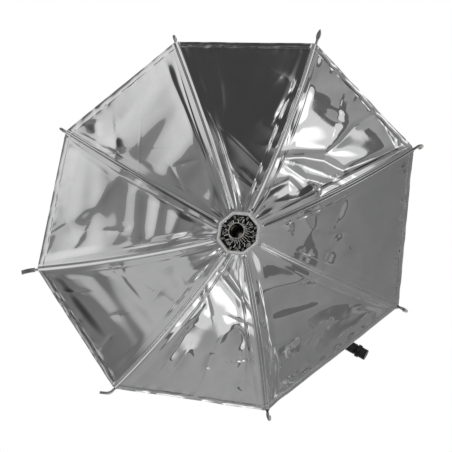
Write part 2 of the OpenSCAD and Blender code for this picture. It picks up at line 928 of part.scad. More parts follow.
module test_spring() {
    color("silver")
        translate([test_seat_x, test_y, test_z])
            rotate([0, 90, 0])
                difference() {
                    cylinder(r = 2.6, h = test_flange_x - test_flange_t - test_seat_x);
                    translate([0, 0, -1])
                        cylinder(r = 1.9, h = 9);
                }
}

module test_lamp() {
    color("orangered")
        translate([lamp_x, lamp_y, back_z - 0.6]) {
            cylinder(r = lamp_r, h = 7);
            intersection() {
                translate([0, 0, 2.4])
                    sphere(r = 3.2);
                translate([0, 0, -2])
                    cylinder(r = lamp_r, h = 3);
            }
        }
}

module sync_socket() {
    color("silver")
        translate([left_x - 1.6, sync_y, sync_z])
            rotate([0, 90, 0])
                difference() {
                    union() {
                        cylinder(r = sync_r, h = 8);
                        translate([0, 0, 1.6 + wall])
                            cylinder(r = sync_r + 1.2, h = 1.4);
                    }
                    translate([0, 0, -1])
                        cylinder(r = sync_bore, h = 12);
                }
}

module sync_insulator() {
    color("black")
        translate([left_x + 2.4, sync_y, sync_z])
            rotate([0, 90, 0])
                difference() {
                    cylinder(r = sync_bore, h = 4);
                    translate([0, 0, -1])
                        cylinder(r = 0.6, h = 8);
                }
}

module sync_pin() {
    color("gold")
        translate([left_x - 0.6, sync_y, sync_z])
            rotate([0, 90, 0])
                cylinder(r = 0.6, h = 9);
}

// Mounting post: a turned black post with a groove, a shoulder flange and a plain spigot
module mounting_post() {
    groove_w = 0.8;
    shoulder = -post_drop;
    color([0.08, 0.08, 0.08])
        translate([-post_x, 0, post_z])
            rotate([-90, 0, 0]) {
                translate([0, 0, shoulder - post_len])
                    cylinder(r = post_d / 2, h = post_len);
                translate([0, 0, shoulder])
                    cylinder(r = flange_d / 2, h = flange_t);
                translate([0, 0, shoulder + flange_t])
                    cylinder(r = post_d / 2 - 0.5, h = groove_w);
                translate([0, 0, shoulder + flange_t + groove_w])
                    cylinder(r = post_d / 2, h = low_y + wall + post_pad - shoulder - flange_t - groove_w);
                translate([0, 0, low_y + wall + post_pad])
                    cylinder(r = post_d / 2 + 1.6, h = post_head);
            }
}

place() rib(1);  // rib_1
place() rib(2);  // rib_2
place() rib(3);  // rib_3
place() rib(4);  // rib_4
place() rib(5);  // rib_5
place() rib(6);  // rib_6
place() rib(7);  // rib_7
place() rib(8);  // rib_8
place() rib_pocket(1);  // rib_pocket_1
place() rib_pocket(2);  // rib_pocket_2
place() rib_pocket(3);  // rib_pocket_3
place() rib_pocket(4);  // rib_pocket_4
place() rib_pocket(5);  // rib_pocket_5
place() rib_pocket(6);  // rib_pocket_6
place() rib_pocket(7);  // rib_pocket_7
place() rib_pocket(8);  // rib_pocket_8
place() reflector_film();
place() crown();
place() rib_pins();
place() socket_tube();
place() socket_insulator();
place() contact_tip();
place() eject_rod();
place() eject_button();
place() eject_spring();
place() neck_tube();
place() neck_nut();
place() runner();
place() grip_ring();
place() front_case();
place() rear_case();
place() case_screws();
place() battery_door();
place() door_pin();
place() battery();
place() battery_strip();
place() battery_leaf();
place() capacitor();
place() resistor();
place() terminal_board();
place() test_button();
place() test_spring();
place() test_lamp();
place() sync_socket();
place() sync_insulator();
place() sync_pin();
place() mounting_post();
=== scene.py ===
"""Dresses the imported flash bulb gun: mirror film, wire ribs, hub, moulded case and a plain studio."""

import math

import bmesh
import bpy
import numpy as np
from mathutils import Euler, Matrix, Vector


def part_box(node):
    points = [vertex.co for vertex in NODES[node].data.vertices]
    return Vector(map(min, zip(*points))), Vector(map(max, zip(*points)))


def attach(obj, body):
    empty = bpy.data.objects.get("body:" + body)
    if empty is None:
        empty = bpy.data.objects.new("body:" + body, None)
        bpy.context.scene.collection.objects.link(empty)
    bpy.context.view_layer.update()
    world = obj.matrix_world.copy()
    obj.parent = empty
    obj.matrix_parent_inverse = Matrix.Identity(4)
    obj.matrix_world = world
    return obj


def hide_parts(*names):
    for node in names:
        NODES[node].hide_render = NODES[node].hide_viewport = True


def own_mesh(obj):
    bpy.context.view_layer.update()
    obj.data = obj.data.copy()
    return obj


bl_info = {
    "name": "Flash bulb gun",
    "version": (1, 0, 0),
    "blender": (4, 5, 0),
    "location": "View3D > Sidebar > Flash gun",
    "description": "Dresses a flash bulb gun with a folding reflector of mirror film",
    "category": "Object",
}

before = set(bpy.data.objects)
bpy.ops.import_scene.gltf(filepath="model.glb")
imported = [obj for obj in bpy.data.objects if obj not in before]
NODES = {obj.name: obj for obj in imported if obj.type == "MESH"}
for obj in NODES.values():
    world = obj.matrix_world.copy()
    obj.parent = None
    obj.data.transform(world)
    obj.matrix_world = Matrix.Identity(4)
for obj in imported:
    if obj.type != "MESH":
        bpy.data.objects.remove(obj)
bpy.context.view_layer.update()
MM = 0.001

# The reflector's own frame, in mm: z along the beam from the rib pivots, y up, x to the right.
AXIS_X, AXIS_Y, AXIS_Z = 23.5, -34.5, 86.6
RIBS = 8
STEP = 2 * math.pi / RIBS
HALF = STEP / 2
RIM_R, RIM_Z = 105.0, 47.0
HOLE_R, HOLE_Z = 11.5, 1.9
BOW = 6.0
PIVOT_R = 10.0
FOLD = math.radians(65)

CHORD = math.hypot(RIM_R - HOLE_R, RIM_Z - HOLE_Z)
CHORD_A = math.atan2(RIM_Z - HOLE_Z, RIM_R - HOLE_R)
ARC_R = (CHORD * CHORD / 4 + BOW * BOW) / (2 * BOW)
ARC_HALF = math.asin(CHORD / (2 * ARC_R))
ARC_X = (HOLE_R + RIM_R) / 2 - (ARC_R - BOW) * math.sin(CHORD_A)
ARC_Z = (HOLE_Z + RIM_Z) / 2 + (ARC_R - BOW) * math.cos(CHORD_A)
RIB_LENGTH = 2 * ARC_HALF * ARC_R

# The photograph's width in pixels, and the camera that took it: its place in metres, its turn, its sensor and
# lens in mm, and the lens's shift as a share of the picture's width.
PHOTO_SIZE = 452
CAMERA_PLACE = Vector((-0.025278, -0.488191, -0.076815))
CAMERA_TURN = Euler([math.radians(a) for a in (130.5776, 55.2730, 28.3014)], "XYZ")
SENSOR, LENS = 36.0, 67.2
LENS_SHIFT = Vector((0.01925, -0.0327))

# Creases of each panel as (points, half width in mm, height in mm). The points are pixels of the photograph,
# listed along each crease. A height above 0 stands to the front.
CREASES = {
    1: [
        ([(288, 222), (291, 230)], 1, -0.6),
        ([(303, 215), (312, 229), (320, 230)], 1.5, -0.5),
        ([(345, 200), (338, 219)], 2.2, 0.6),
        ([(340, 232), (350, 252)], 2.5, -0.5),
        ([(326, 263), (331, 251)], 2, 0.6),
        ([(302, 252), (311, 255)], 2, 0.5),
        ([(331, 234), (345, 233)], 1, 0.4),
        ([(360, 250), (365, 280)], 3, -0.3),
        ([(318, 209), (320, 209)], 1.5, -0.5),
        ([(395, 265), (396, 298)], 1.5, -0.5),
    ],
    2: [
        ([(276, 158), (305, 157), (325, 160), (344, 171)], 1.6, 0.9),
        ([(344, 171), (372, 158), (400, 148)], 1.5, 0.6),
        ([(286, 166), (307, 179), (338, 186)], 1.8, 0.9),
        ([(295, 162), (330, 175)], 2, -0.6),
        ([(281, 156), (327, 153), (341, 142), (354, 127), (373, 115)], 1.5, 0.5),
        ([(298, 104), (292, 120), (289, 134)], 2, 0.6),
        ([(265, 192), (290, 180), (300, 190)], 1.5, 0.7),
        ([(272, 203), (300, 198), (315, 188)], 1.5, -0.7),
        ([(311, 184), (317, 197)], 2, -0.9),
        ([(340, 110), (337, 122)], 3, 0.35),
        ([(385, 128), (396, 148)], 1.2, 0.5),
    ],
    3: [
        ([(281, 75), (297, 88)], 2.2, -0.7),
        ([(259, 120), (281, 134)], 3, -0.9),
        ([(276, 118), (285, 105), (290, 100)], 1.5, 0.6),
        ([(226, 133), (266, 173)], 1.4, -0.8),
        ([(232, 173), (258, 193)], 1.2, -0.8),
        ([(243, 170), (259, 187)], 1, -0.6),
        ([(266, 145), (277, 148)], 1.2, -0.6),
        ([(215, 130), (228, 165), (238, 195)], 1.5, -0.7),
        ([(209, 115), (222, 150)], 1.2, -0.6),
        ([(220, 80), (223, 110)], 2, -0.3),
        ([(262, 105), (265, 85)], 4, 0.2),
    ],
    4: [
        ([(165, 61), (186, 113), (205, 157)], 1.3, -0.8),
        ([(171, 61), (192, 113), (209, 155)], 1.6, 0.5),
        ([(95, 119), (97, 137)], 3, 1.6),
        ([(115, 136), (116, 154)], 2.6, -1.4),
        ([(140, 148), (139, 148)], 6, -0.3),
        ([(170, 166), (182, 186)], 1, 0.3),
        ([(176, 165), (196, 160)], 1, 0.3),
        ([(132, 108), (122, 120)], 2, 0.3),
        ([(150, 82), (146, 95)], 3, 0.25),
    ],
    5: [
        ([(78, 150), (72, 182)], 3.5, -0.8),
        ([(118, 176), (95, 205), (68, 222)], 4.2, -0.9),
        ([(163, 192), (150, 243)], 4, -0.8),
        ([(186, 203), (166, 243)], 3, -0.6),
        ([(200, 214), (180, 243)], 3.5, 0.7),
        ([(125, 168), (142, 182)], 2.5, 0.5),
        ([(60, 205), (75, 240)], 2, 0.5),
        ([(84, 232), (72, 250)], 2, -0.5),
        ([(128, 226), (142, 240)], 2, -0.4),
        ([(104, 230), (118, 231)], 1, 0.25),
    ],
    6: [
        ([(173, 265), (187, 292)], 3, 0.5),
        ([(158, 294), (176, 307)], 3, 0.5),
        ([(107, 260), (120, 276), (140, 300)], 1.3, 0.3),
        ([(60, 292), (90, 291)], 1, 0.15),
        ([(100, 350), (112, 335)], 1, 0.2),
        ([(118, 262), (124, 275)], 1.5, 0.4),
        ([(112, 315), (121, 314)], 1, 0.2),
        ([(185, 255), (206, 276)], 3, -0.5),
    ],
    7: [
        ([(217, 271), (249, 311)], 1.5, 0.7),
        ([(226, 268), (249, 304)], 1.2, -0.6),
        ([(172, 325), (186, 303)], 1.5, 0.5),
        ([(168, 360), (192, 325)], 2.2, 0.6),
        ([(175, 368), (188, 350)], 1.2, -0.4),
        ([(206, 370), (213, 352)], 2.5, 0.6),
        ([(246, 360), (246, 361)], 3.5, 0.6),
        ([(238, 328), (249, 348)], 1.8, 0.7),
        ([(204, 285), (211, 315)], 1.2, 0.4),
        ([(196, 282), (203, 300)], 1.2, 0.4),
        ([(226, 315), (252, 327)], 1, 0.3),
        ([(236, 388), (248, 380)], 3, 0.4),
    ],
    8: [
        ([(258, 290), (312, 279)], 4, -0.9),
        ([(268, 322), (330, 303), (350, 300)], 5, -1.1),
        ([(262, 349), (300, 335)], 4, -0.9),
        ([(303, 283), (315, 279)], 1, 0.5),
        ([(260, 320), (266, 328)], 0.9, 0.4),
        ([(264, 346), (270, 353)], 0.9, 0.4),
        ([(289, 347), (293, 357)], 0.9, 0.3),
    ],
}

# The studio, as levels at a height from straight down (0) to straight up (1): pale paper that darkens towards
# its edge, the grey floor past it, the shaded foot of the walls, lighter walls and a grey ceiling.
STUDIO_HEIGHTS = [
    (0.0, 0.9), (0.2, 0.7), (0.29, 0.5), (0.3, 0.26), (0.47, 0.17), (0.62, 0.26), (0.8, 0.4), (1.0, 0.2)
]
# What stands in it, as (direction, level, radius and soft edge in degrees): dark curtains at both sides, a
# fill card at 45 degrees on the right, an unlit corner on the left, and two soft boxes at 45 degrees in
# front, brighter in the middle.
STUDIO = [
    ((-1, 0, 0), 0.04, 12, 8),
    ((1, 0, 0), 0.04, 12, 8),
    ((1, -1, 0), 0.5, 7, 9),
    ((-1, -1, 0), 0.06, 4, 28),
    ((-1, -1, 1), 0.8, 11, 3),
    ((1, -1, 1), 0.8, 11, 3),
    ((-1, -1, 1), 1.4, 4, 3),
    ((1, -1, 1), 1.4, 4, 3),
]
# A dark lamp rail across the ceiling: where it runs and its half width, as depth over height, how high a
# direction has to point to meet it, and its level.
RAIL_AT, RAIL_HALF, RAIL_FROM, RAIL_LEVEL = -0.6, 0.05, 0.6, 0.14
# Depth of a direction at which the white backdrop behind the object starts and is full.
BACKDROP = (0.25, 0.6)


def length(name, description, mm):
    """A length property whose default is in mm."""
    return bpy.props.FloatProperty(name=name, description=description, default=mm * MM, unit="LENGTH")


class FlashGunSizes(bpy.types.PropertyGroup):
    """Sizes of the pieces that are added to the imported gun."""

    film_thickness: length("Film thickness", "Thickness of the mirror film", 0.12)
    hub_hem: length("Hub hem", "Width of the vinyl hem round the hole in the film", 1.7)
    rim_hem: length("Rim hem", "Width of the turned hem along the film's outer edges", 3.2)
    rib_bead: length("Rib bead", "How far the film stands up over a rib's wire", 0.9)
    crease_gain: bpy.props.FloatProperty(
        name="Crease gain",
        description="Factor on the height of the film's creases",
        default=1.0,
        subtype="FACTOR",
    )
    spring_wire: length("Spring wire", "Diameter of the wire in the return springs", 0.6)


def linear(hex_colour):
    """An sRGB hex colour as linear RGBA."""
    parts = [int(hex_colour[k : k + 2], 16) / 255 for k in (1, 3, 5)]
    return tuple(c / 12.92 if c <= 0.04045 else ((c + 0.055) / 1.055) ** 2.4 for c in parts) + (1.0,)


def colour(name, description, hex_colour):
    """A colour property whose default is an sRGB hex value."""
    return bpy.props.FloatVectorProperty(
        name=name, description=description, default=linear(hex_colour), size=4, subtype="COLOR", min=0, max=1
    )


class FlashGunColours(bpy.types.PropertyGroup):
    """Colours of the gun's finishes and of the studio."""

    film: colour("Film", "Silvered front of the film", "#e6e6e7")
    film_dull: colour("Film, dulled", "Silvered front where handling has dulled it", "#d3d4d5")
    film_back: colour("Film back", "Lacquered back of the film", "#b4b5b6")
    hem: colour("Hem", "Vinyl hem round the hub", "#cacaca")
    wire: colour("Wire", "Drawn steel of the ribs", "#b5b4b1")
    casting: colour("Casting", "Zinc of the hub", "#dededc")
    nickel: colour("Nickel", "Plating of the socket and fittings", "#e2ded6")
    brass: colour("Brass", "Contacts", "#c9a35a")
    moulding: colour("Moulding", "Black plastic of the case", "#151515")
    post: colour("Post", "Blackened steel of the post", "#1c1c1d")
    phenolic: colour("Phenolic", "Insulating board", "#6a3d22")
    jacket: colour("Battery jacket", "Lacquered card of the battery", "#27406b")
    can: colour("Capacitor", "Aluminium can of the capacitor", "#b9bcbf")
    button: colour("Button", "Red plastic of the test button", "#9c1c17")
    lens: colour("Lens", "Amber lens of the test lamp", "#d8661a")
    floor: colour("Floor", "Paper floor", "#e4e4e2")


def sizes():
    return bpy.context.scene.flash_gun_sizes


def colours():
    return bpy.context.scene.flash_gun_colours


def to_row(points):
    """Points of the reflector's frame in mm, as row points in metres."""
    x, y, z = points[..., 0], points[..., 1], points[..., 2]
    return np.stack([x + AXIS_X, AXIS_Y - z, y + AXIS_Z], axis=-1) * MM


def row_point(x, y, z):
    return Vector(to_row(np.array([x, y, z], float)))


def row_direction(x, y, z):
    return Vector((x, -z, y))


def azimuth(rib):
    return -math.pi / 2 + STEP * (rib - 1)


def smooth(x, low, high):
    """0 below low, 1 above high and smooth between."""
    t = np.clip((x - low) / (high - low), 0, 1)
    return t * t * (3 - 2 * t)


def hump(x, middle, half):
    """1 at the middle, falling off over the half width on both sides."""
    return np.exp(-(((x - middle) / half) ** 2))


# A place on the film is t and w, the shares of the way from the hub to the rim and from a rib to the next, or
# s and v, in mm from the hub and from the middle of the panel laid flat.


def rib_arc(t):
    """Radius, height and slope angle on the rib's arc, t from 0 at the hub to 1 at the rim."""
    a = CHORD_A - ARC_HALF + 2 * ARC_HALF * t
    return ARC_X + ARC_R * np.sin(a), ARC_Z - ARC_R * np.cos(a), a


def panel_width(t):
    """Width of a panel from rib to rib, in mm."""
    return 2 * rib_arc(t)[0] * math.sin(HALF)


def panel_place(panel, pixel):
    """Where a photo pixel lies on the even panel: shares of the way to the rim and to the next rib."""
    spot = Vector((pixel[0], -pixel[1])) / PHOTO_SIZE + Vector((-0.5, 0.5)) + LENS_SHIFT
    ray = Vector((*(spot * SENSOR / LENS), -1))
    ray.rotate(CAMERA_TURN)
    x, y, z = CAMERA_PLACE / MM
    turn = Matrix.Rotation(-azimuth(panel) - HALF, 3, "Z")
    eye = turn @ Vector((x - AXIS_X, z - AXIS_Z, AXIS_Y - y))
    ray = turn @ Vector((ray.x, ray.z, -ray.y))
    # Seen along its straight rows, the panel is the rib's arc, narrowed towards the axis.
    start = Vector((eye.x / math.cos(HALF) - ARC_X, eye.z - ARC_Z))
    way = Vector((ray.x / math.cos(HALF), ray.z))
    towards = start.dot(way)
    inside = start.length_squared - ARC_R * ARC_R
    reach = (math.sqrt(towards * towards - way.length_squared * inside) - towards) / way.length_squared
    hit = start + reach * way
    t = (math.atan2(hit.x, -hit.y) - CHORD_A + ARC_HALF) / (2 * ARC_HALF)
    w = 0.5 + (eye.y + reach * ray.y) / (2 * (ARC_X + hit.x) * math.sin(HALF))
    return t, min(max(w, 0.0), 1.0)


def pocket_edge(t, gap=0.1):
    """Share of the way to the next rib at which a rib's pocket ends, so that folded pockets nearly meet."""
    r, z, _ = rib_arc(t)
    folded = PIVOT_R + (r - PIVOT_R) * math.cos(FOLD) - z * math.sin(FOLD)
    span = math.sin(STEP) + math.tan(HALF) * math.cos(FOLD) * (1 - math.cos(STEP))
    return (math.tan(HALF) * folded - gap) / (r * span)


# Least and greatest factor on the length of a crumple's waves.
WAVE_SPREAD = (0.7, 1.5)


def ripple(s, v, wave, seed, count=7):
    """A smooth seeded crumple of about unit height on flat film, with waves of that length in mm."""
    rng = np.random.RandomState(seed)
    total = np.zeros_like(s)
    for _ in range(count):
        turn, phase = rng.uniform(0, 2 * math.pi, 2)
        k = 2 * math.pi / (wave * rng.uniform(*WAVE_SPREAD))
        total += np.sin(k * (s * math.cos(turn) + v * math.sin(turn)) + phase)
    return total / math.sqrt(count)


def line_place(s, v, points):
    """Distance in mm from flat film points to a line, the side it is on, and the share of the line there."""
    best = np.full_like(s, 1e9)
    side = np.zeros_like(s)
    share = np.zeros_like(s)
    lengths = [math.dist(p, q) for p, q in zip(points, points[1:])]
    done = 0.0
    for (s0, v0), (s1, v1), run in zip(points, points[1:], lengths):
        ds, dv = s1 - s0, v1 - v0
        k = np.clip(((s - s0) * ds + (v - v0) * dv) / max(run * run, 1e-9), 0, 1)
        away = np.hypot(s - s0 - k * ds, v - v0 - k * dv)
        nearer = away < best
        best = np.where(nearer, away, best)
        side = np.where(nearer, np.sign(ds * (v - v0) - dv * (s - s0)), side)
        share = np.where(nearer, (done + k * run) / sum(lengths), share)
        done += run
    return best, side, share


# A crease's reach on its steep and its gentle side, in half widths, the roundness of its crest and how fast
# it falls, and the shares of its line over which it fades in and out.
STEEP_SIDE, GENTLE_SIDE = 0.75, 1.6
CREST, FALL = 0.4, 1.3
FADE_IN, FADE_OUT = (-0.25, 0.3), (0.7, 1.25)


def crease(s, v, points, half, height):
    """Height of one fold: a soft ridge, steeper on one side, that fades out towards its ends."""
    away, side, share = line_place(s, v, points)
    reach = np.where(side > 0, half * STEEP_SIDE, half * GENTLE_SIDE)
    fade = smooth(share, *FADE_IN) * (1 - smooth(share, *FADE_OUT))
    return height * fade * np.exp(-(np.sqrt((away / reach) ** 2 + CREST**2) - CREST) * FALL)


# Sets of pleats by their number in a panel, least and greatest factor on that number, least and greatest way
# out in mm on which a pleat moves aside by one place, and the roundness of its crest.
PLEAT_COUNTS = (1.3, 2.2, 3.1)
PLEAT_SPREAD, PLEAT_DRIFT, PLEAT_ROUND = (0.85, 1.15), (35, 70), 0.004


def pleats(s, w, seed):
    """Gathered film: sharp folds that run out from the hub, about unit height."""
    rng = np.random.RandomState(seed)
    total = np.zeros_like(s)
    for count in PLEAT_COUNTS:
        x = w * count * rng.uniform(*PLEAT_SPREAD) + rng.uniform(0, 1) + s / rng.uniform(*PLEAT_DRIFT)
        total += np.sqrt((2 * np.abs(x - np.round(x))) ** 2 + PLEAT_ROUND) * 2 - 1
    return total / math.sqrt(len(PLEAT_COUNTS))


# How each panel lies: how far it sways between its ribs and how deeply it is pleated at the hub, in mm, the
# length of its folds' waves in mm, and how far the folds are turned from the rim's direction, in degrees.
SWAY = {1: 0.2, 2: 0.34, 3: 0.4, 4: 0.5, 5: 0.95, 6: 0.36, 7: 0.28, 8: 0.34}
PLEAT = {1: 0.08, 2: 0.5, 3: 0.3, 4: 0.35, 5: 0.4, 6: 0.4, 7: 0.5, 8: 0.08}
WAVE = {1: 42, 2: 22, 3: 30, 4: 26, 5: 30, 6: 26, 7: 26, 8: 42}
FOLD_TURN = {1: 30, 2: 45, 3: 60, 4: 20, 5: 5, 6: 10, 7: 85, 8: 12}
# Folds are this much longer than wide, with finer folds on them as shares of their wave and height.
FOLD_STRETCH, FINE_WAVE, FINE_HEIGHT = 3.6, 0.45, 0.15
# All creases are drawn wider by this factor, and those of this half width in mm or more lower.
CREASE_SPREAD, WIDE_CREASE, WIDE_GAIN = 1.4, 3, 0.8
# How far the pleats reach from the hub, how uneven that line is, and its wave, in mm.
PLEAT_REACH, PLEAT_UNEVEN, PLEAT_WAVE = 17, 5, 16
# Half widths and depths in mm of the film beside a rib: the flat weld, the bead over the wire, the groove at
# the bead's foot, which also has a place, and the weld's line.
WELD_FLAT, BEAD_HALF = 1.2, 0.85
GROOVE_AT, GROOVE_HALF, GROOVE_DEEP = 1.5, 0.35, 0.1
LINE_HALF, LINE_DEEP = 0.4, 0.015
# The rim's hem in mm: its roll, how uneven that is in height and, as a share of the hem, in width, the line
# of its weld, and the crinkle, which is longer outwards than along the rim by its stretch.
ROLL, ROLL_UNEVEN, ROLL_SWELL, ROLL_WAVE = 0.32, 0.2, 0.12, 13
RIM_LINE_HALF, RIM_LINE_DEEP = 0.35, 0.07
CRINKLE, CRINKLE_HALF, CRINKLE_WAVE, CRINKLE_STRETCH = 0.1, 2.2, 7, 2
# Height in mm of the hub's hem, and its half width as a share of the hem.
HUB_HEM_RISE, HUB_HEM_HALF = 0.4, 0.42
# Distances in mm over which each pattern fades in: from the hub, from a rib, and from a pocket's seam.
HUB_FADE = {"pleats": (1.5, 6), "bead": (2, 6), "groove": (3, 8), "line": (4, 9)}
RIB_FADE = {"creases": (0.6, 2.2), "pleats": (0.3, 2.5), "roll": (0.8, 3), "crinkle": (1, 5), "slope": (0, 2)}
SEAM_FADE = {"folds": (0, 5)}
# First seed of each random pattern; the panel's number is added.
SEED = {"folds": 10, "pleats": 20, "roll": 30, "fine folds": 40, "pleats' reach": 50, "crinkle": 60}


def crease_lift(panel, s, v):
    """The panel's own creases."""
    total = np.zeros_like(s)
    for pixels, half, height in CREASES[panel]:
        places = [panel_place(panel, pixel) for pixel in pixels]
        line = [(p * RIB_LENGTH, (q - 0.5) * panel_width(p)) for p, q in places]
        gain = sizes().crease_gain * (WIDE_GAIN if half >= WIDE_CREASE else 1)
        total += gain * crease(s, v, line, half * CREASE_SPREAD, height)
    return total


def fold_lift(panel, s, v):
    """Long soft folds with finer ones on them."""
    turn = math.radians(FOLD_TURN[panel])
    over = s * math.cos(turn) + v * math.sin(turn)
    along = (v * math.cos(turn) - s * math.sin(turn)) / FOLD_STRETCH
    wave = WAVE[panel]
    fine = ripple(over, along, wave * FINE_WAVE, SEED["fine folds"] + panel)
    return SWAY[panel] * (ripple(over, along, wave, SEED["folds"] + panel) + FINE_HEIGHT * fine)


def pleat_lift(panel, s, v, w):
    """Gathers at the hub, out to an uneven line."""
    reach = PLEAT_REACH + PLEAT_UNEVEN * ripple(v, s, PLEAT_WAVE, SEED["pleats' reach"] + panel)
    height = PLEAT[panel] * hump(s, 0, reach) * smooth(s, *HUB_FADE["pleats"])
    return height * pleats(s, w, SEED["pleats"] + panel)


def rib_lift(s, from_rib, from_seam):
    """The bead over a rib's wire, the groove at its foot and the weld's line, from a little off the hub."""
    bead = sizes().rib_bead / MM * hump(from_rib, 0, BEAD_HALF) * smooth(s, *HUB_FADE["bead"])
    groove = GROOVE_DEEP * hump(from_rib, GROOVE_AT, GROOVE_HALF) * smooth(s, *HUB_FADE["groove"])
    line = LINE_DEEP * hump(from_seam, 0, LINE_HALF) * smooth(s, *HUB_FADE["line"])
    return bead - groove - line


def rim_lift(panel, v, from_rim, from_rib):
    """The turned hem at the rim: an uneven roll, the line of its weld and the film's crinkle along it."""
    hem = sizes().rim_hem / MM
    uneven = ripple(v, np.zeros_like(v), ROLL_WAVE, SEED["roll"] + panel)
    across = (from_rim - hem / 2) / (hem * (0.5 + ROLL_SWELL * uneven))
    roll = (ROLL + ROLL_UNEVEN * uneven) * np.clip(1 - across**2, 0, None)
    roll *= smooth(from_rib, *RIB_FADE["roll"])
    waves = ripple(v, from_rim / CRINKLE_STRETCH, CRINKLE_WAVE, SEED["crinkle"] + panel)
    crinkle = CRINKLE * waves * hump(from_rim, hem, CRINKLE_HALF) * smooth(from_rib, *RIB_FADE["crinkle"])
    return roll + crinkle - RIM_LINE_DEEP * hump(from_rim, hem, RIM_LINE_HALF)


def film_lift(panel, t, w):
    """Height in mm of the film in front of the even panel."""
    s = t * RIB_LENGTH
    width = panel_width(t)
    v = (w - 0.5) * width
    from_rib = np.minimum(w, 1 - w) * width
    from_seam = from_rib - pocket_edge(t) * width
    # The weld beside each rib holds the film flat, so creases and pleats die out on it.
    weld = smooth(np.abs(from_seam), 0, WELD_FLAT)
    lift = crease_lift(panel, s, v) * smooth(from_rib, *RIB_FADE["creases"]) * weld
    lift += fold_lift(panel, s, v) * smooth(from_seam, *SEAM_FADE["folds"])
    lift += pleat_lift(panel, s, v, w) * smooth(from_rib, *RIB_FADE["pleats"]) * weld
    lift += rib_lift(s, from_rib, from_seam)
    lift += rim_lift(panel, v, RIB_LENGTH - s, from_rib)
    hem = sizes().hub_hem / MM
    return lift + HUB_HEM_RISE * hump(s, hem / 2, hem * HUB_HEM_HALF)


def film_points(panel, t, w):
    """Row points of the film's front, in metres."""
    a, b = azimuth(panel), azimuth(panel + 1)
    r, z, slope = rib_arc(t)
    c = math.cos(a) * (1 - w) + math.cos(b) * w
    s = math.sin(a) * (1 - w) + math.sin(b) * w
    base = np.stack([r * c, r * s, z], axis=-1)
    along = np.stack([np.cos(slope) * c, np.cos(slope) * s, np.sin(slope)], axis=-1)
    chord = (math.cos(b) - math.cos(a), math.sin(b) - math.sin(a), 0)
    normal = np.cross(along, chord)
    normal /= np.linalg.norm(normal, axis=-1, keepdims=True)
    near = np.where(w < 0.5, a, b)
    rib_normal = np.stack([-np.sin(slope) * np.cos(near), -np.sin(slope) * np.sin(near), np.cos(slope)], -1)
    share = smooth(np.minimum(w, 1 - w) * panel_width(t), *RIB_FADE["slope"])[..., None]
    normal = normal * share + rib_normal * (1 - share)
    normal /= np.linalg.norm(normal, axis=-1, keepdims=True)
    return to_row(base + normal * film_lift(panel, t, w)[..., None])


# Shares of a film grid's rows, and the shares of the rib that they reach.
ROW_SHARES, RIB_SHARES = (0, 0.12, 0.22, 0.9, 1), (0, 0.035, 0.1, 0.95, 1)


def rows_share(v):
    """Spreads rows of a film grid along a rib, closer together at the hub's hem and at the rim's."""
    return np.interp(v, ROW_SHARES, RIB_SHARES)


def new_piece(name, bm):
    """Turns a bmesh into a piece of the scene."""
    mesh = bpy.data.meshes.new(name)
    bm.to_mesh(mesh)
    bm.free()
    piece = bpy.data.objects.new(name, mesh)
    bpy.context.scene.collection.objects.link(piece)
    return piece


def film_piece(name, columns, rows, place, front=(0, -1, 0)):
    """A smooth film sheet that faces the front, on a grid: place(u, v) with u and v from 0 to 1."""
    bm = bmesh.new()
    bmesh.ops.create_grid(bm, x_segments=columns, y_segments=rows, size=0.5)
    flat = np.array([p.co for p in bm.verts])
    for p, spot in zip(bm.verts, place(flat[:, 0] + 0.5, flat[:, 1] + 0.5)):
        p.co = spot
    bm.normal_update()
    facing = Vector(front)
    if sum(f.normal.dot(facing) for f in bm.faces) < 0:
        bmesh.ops.reverse_faces(bm, faces=bm.faces)
    for f in bm.faces:
        f.smooth = True
    for e in bm.edges:
        e.smooth = not e.is_boundary
    return new_piece(name, bm)


def thicken(piece, depth, back_slot=0):
    """Gives a sheet its thickness, behind its front."""
    wall = piece.modifiers.new("thickness", "SOLIDIFY")
    wall.thickness = depth
    wall.offset = -1
    wall.material_offset = back_slot
    wall.material_offset_rim = back_slot


def hem_faces(piece, rows_in_hem, columns):
    """Puts the faces nearest the hub in the vinyl hem's slot."""
    for k, polygon in enumerate(piece.data.polygons):
        if k // columns < rows_in_hem:
            polygon.material_index = 1


def sheet_area(piece):
    return sum(p.area for p in piece.data.polygons)


def add(tree, kind, inputs=None, **settings):
    """Adds a node with its settings, and sets or links its inputs."""
    made = tree.nodes.new(kind)
    for key, value in settings.items():
        setattr(made, key, value)
    for key, value in (inputs or {}).items():
        if isinstance(value, bpy.types.NodeSocket):
            tree.links.new(value, made.inputs[key])
        else:
            made.inputs[key].default_value = value
    return made


# Noise below and above these levels counts as none and as full.
NOISE_NONE, NOISE_FULL = 0.3, 0.7


def drift(tree, size_mm, low, high, detail=3.0, rough=0.5):
    """A value that drifts between low and high over the piece, in spots of that size."""
    place = add(tree, "ShaderNodeTexCoord").outputs["Object"]
    noise = {"Vector": place, "Scale": 1 / (size_mm * MM), "Detail": detail, "Roughness": rough}
    spots = add(tree, "ShaderNodeTexNoise", noise).outputs["Fac"]
    span = {"Value": spots, "From Min": NOISE_NONE, "From Max": NOISE_FULL, "To Min": low, "To Max": high}
    return add(tree, "ShaderNodeMapRange", span, interpolation_type="SMOOTHSTEP").outputs[0]


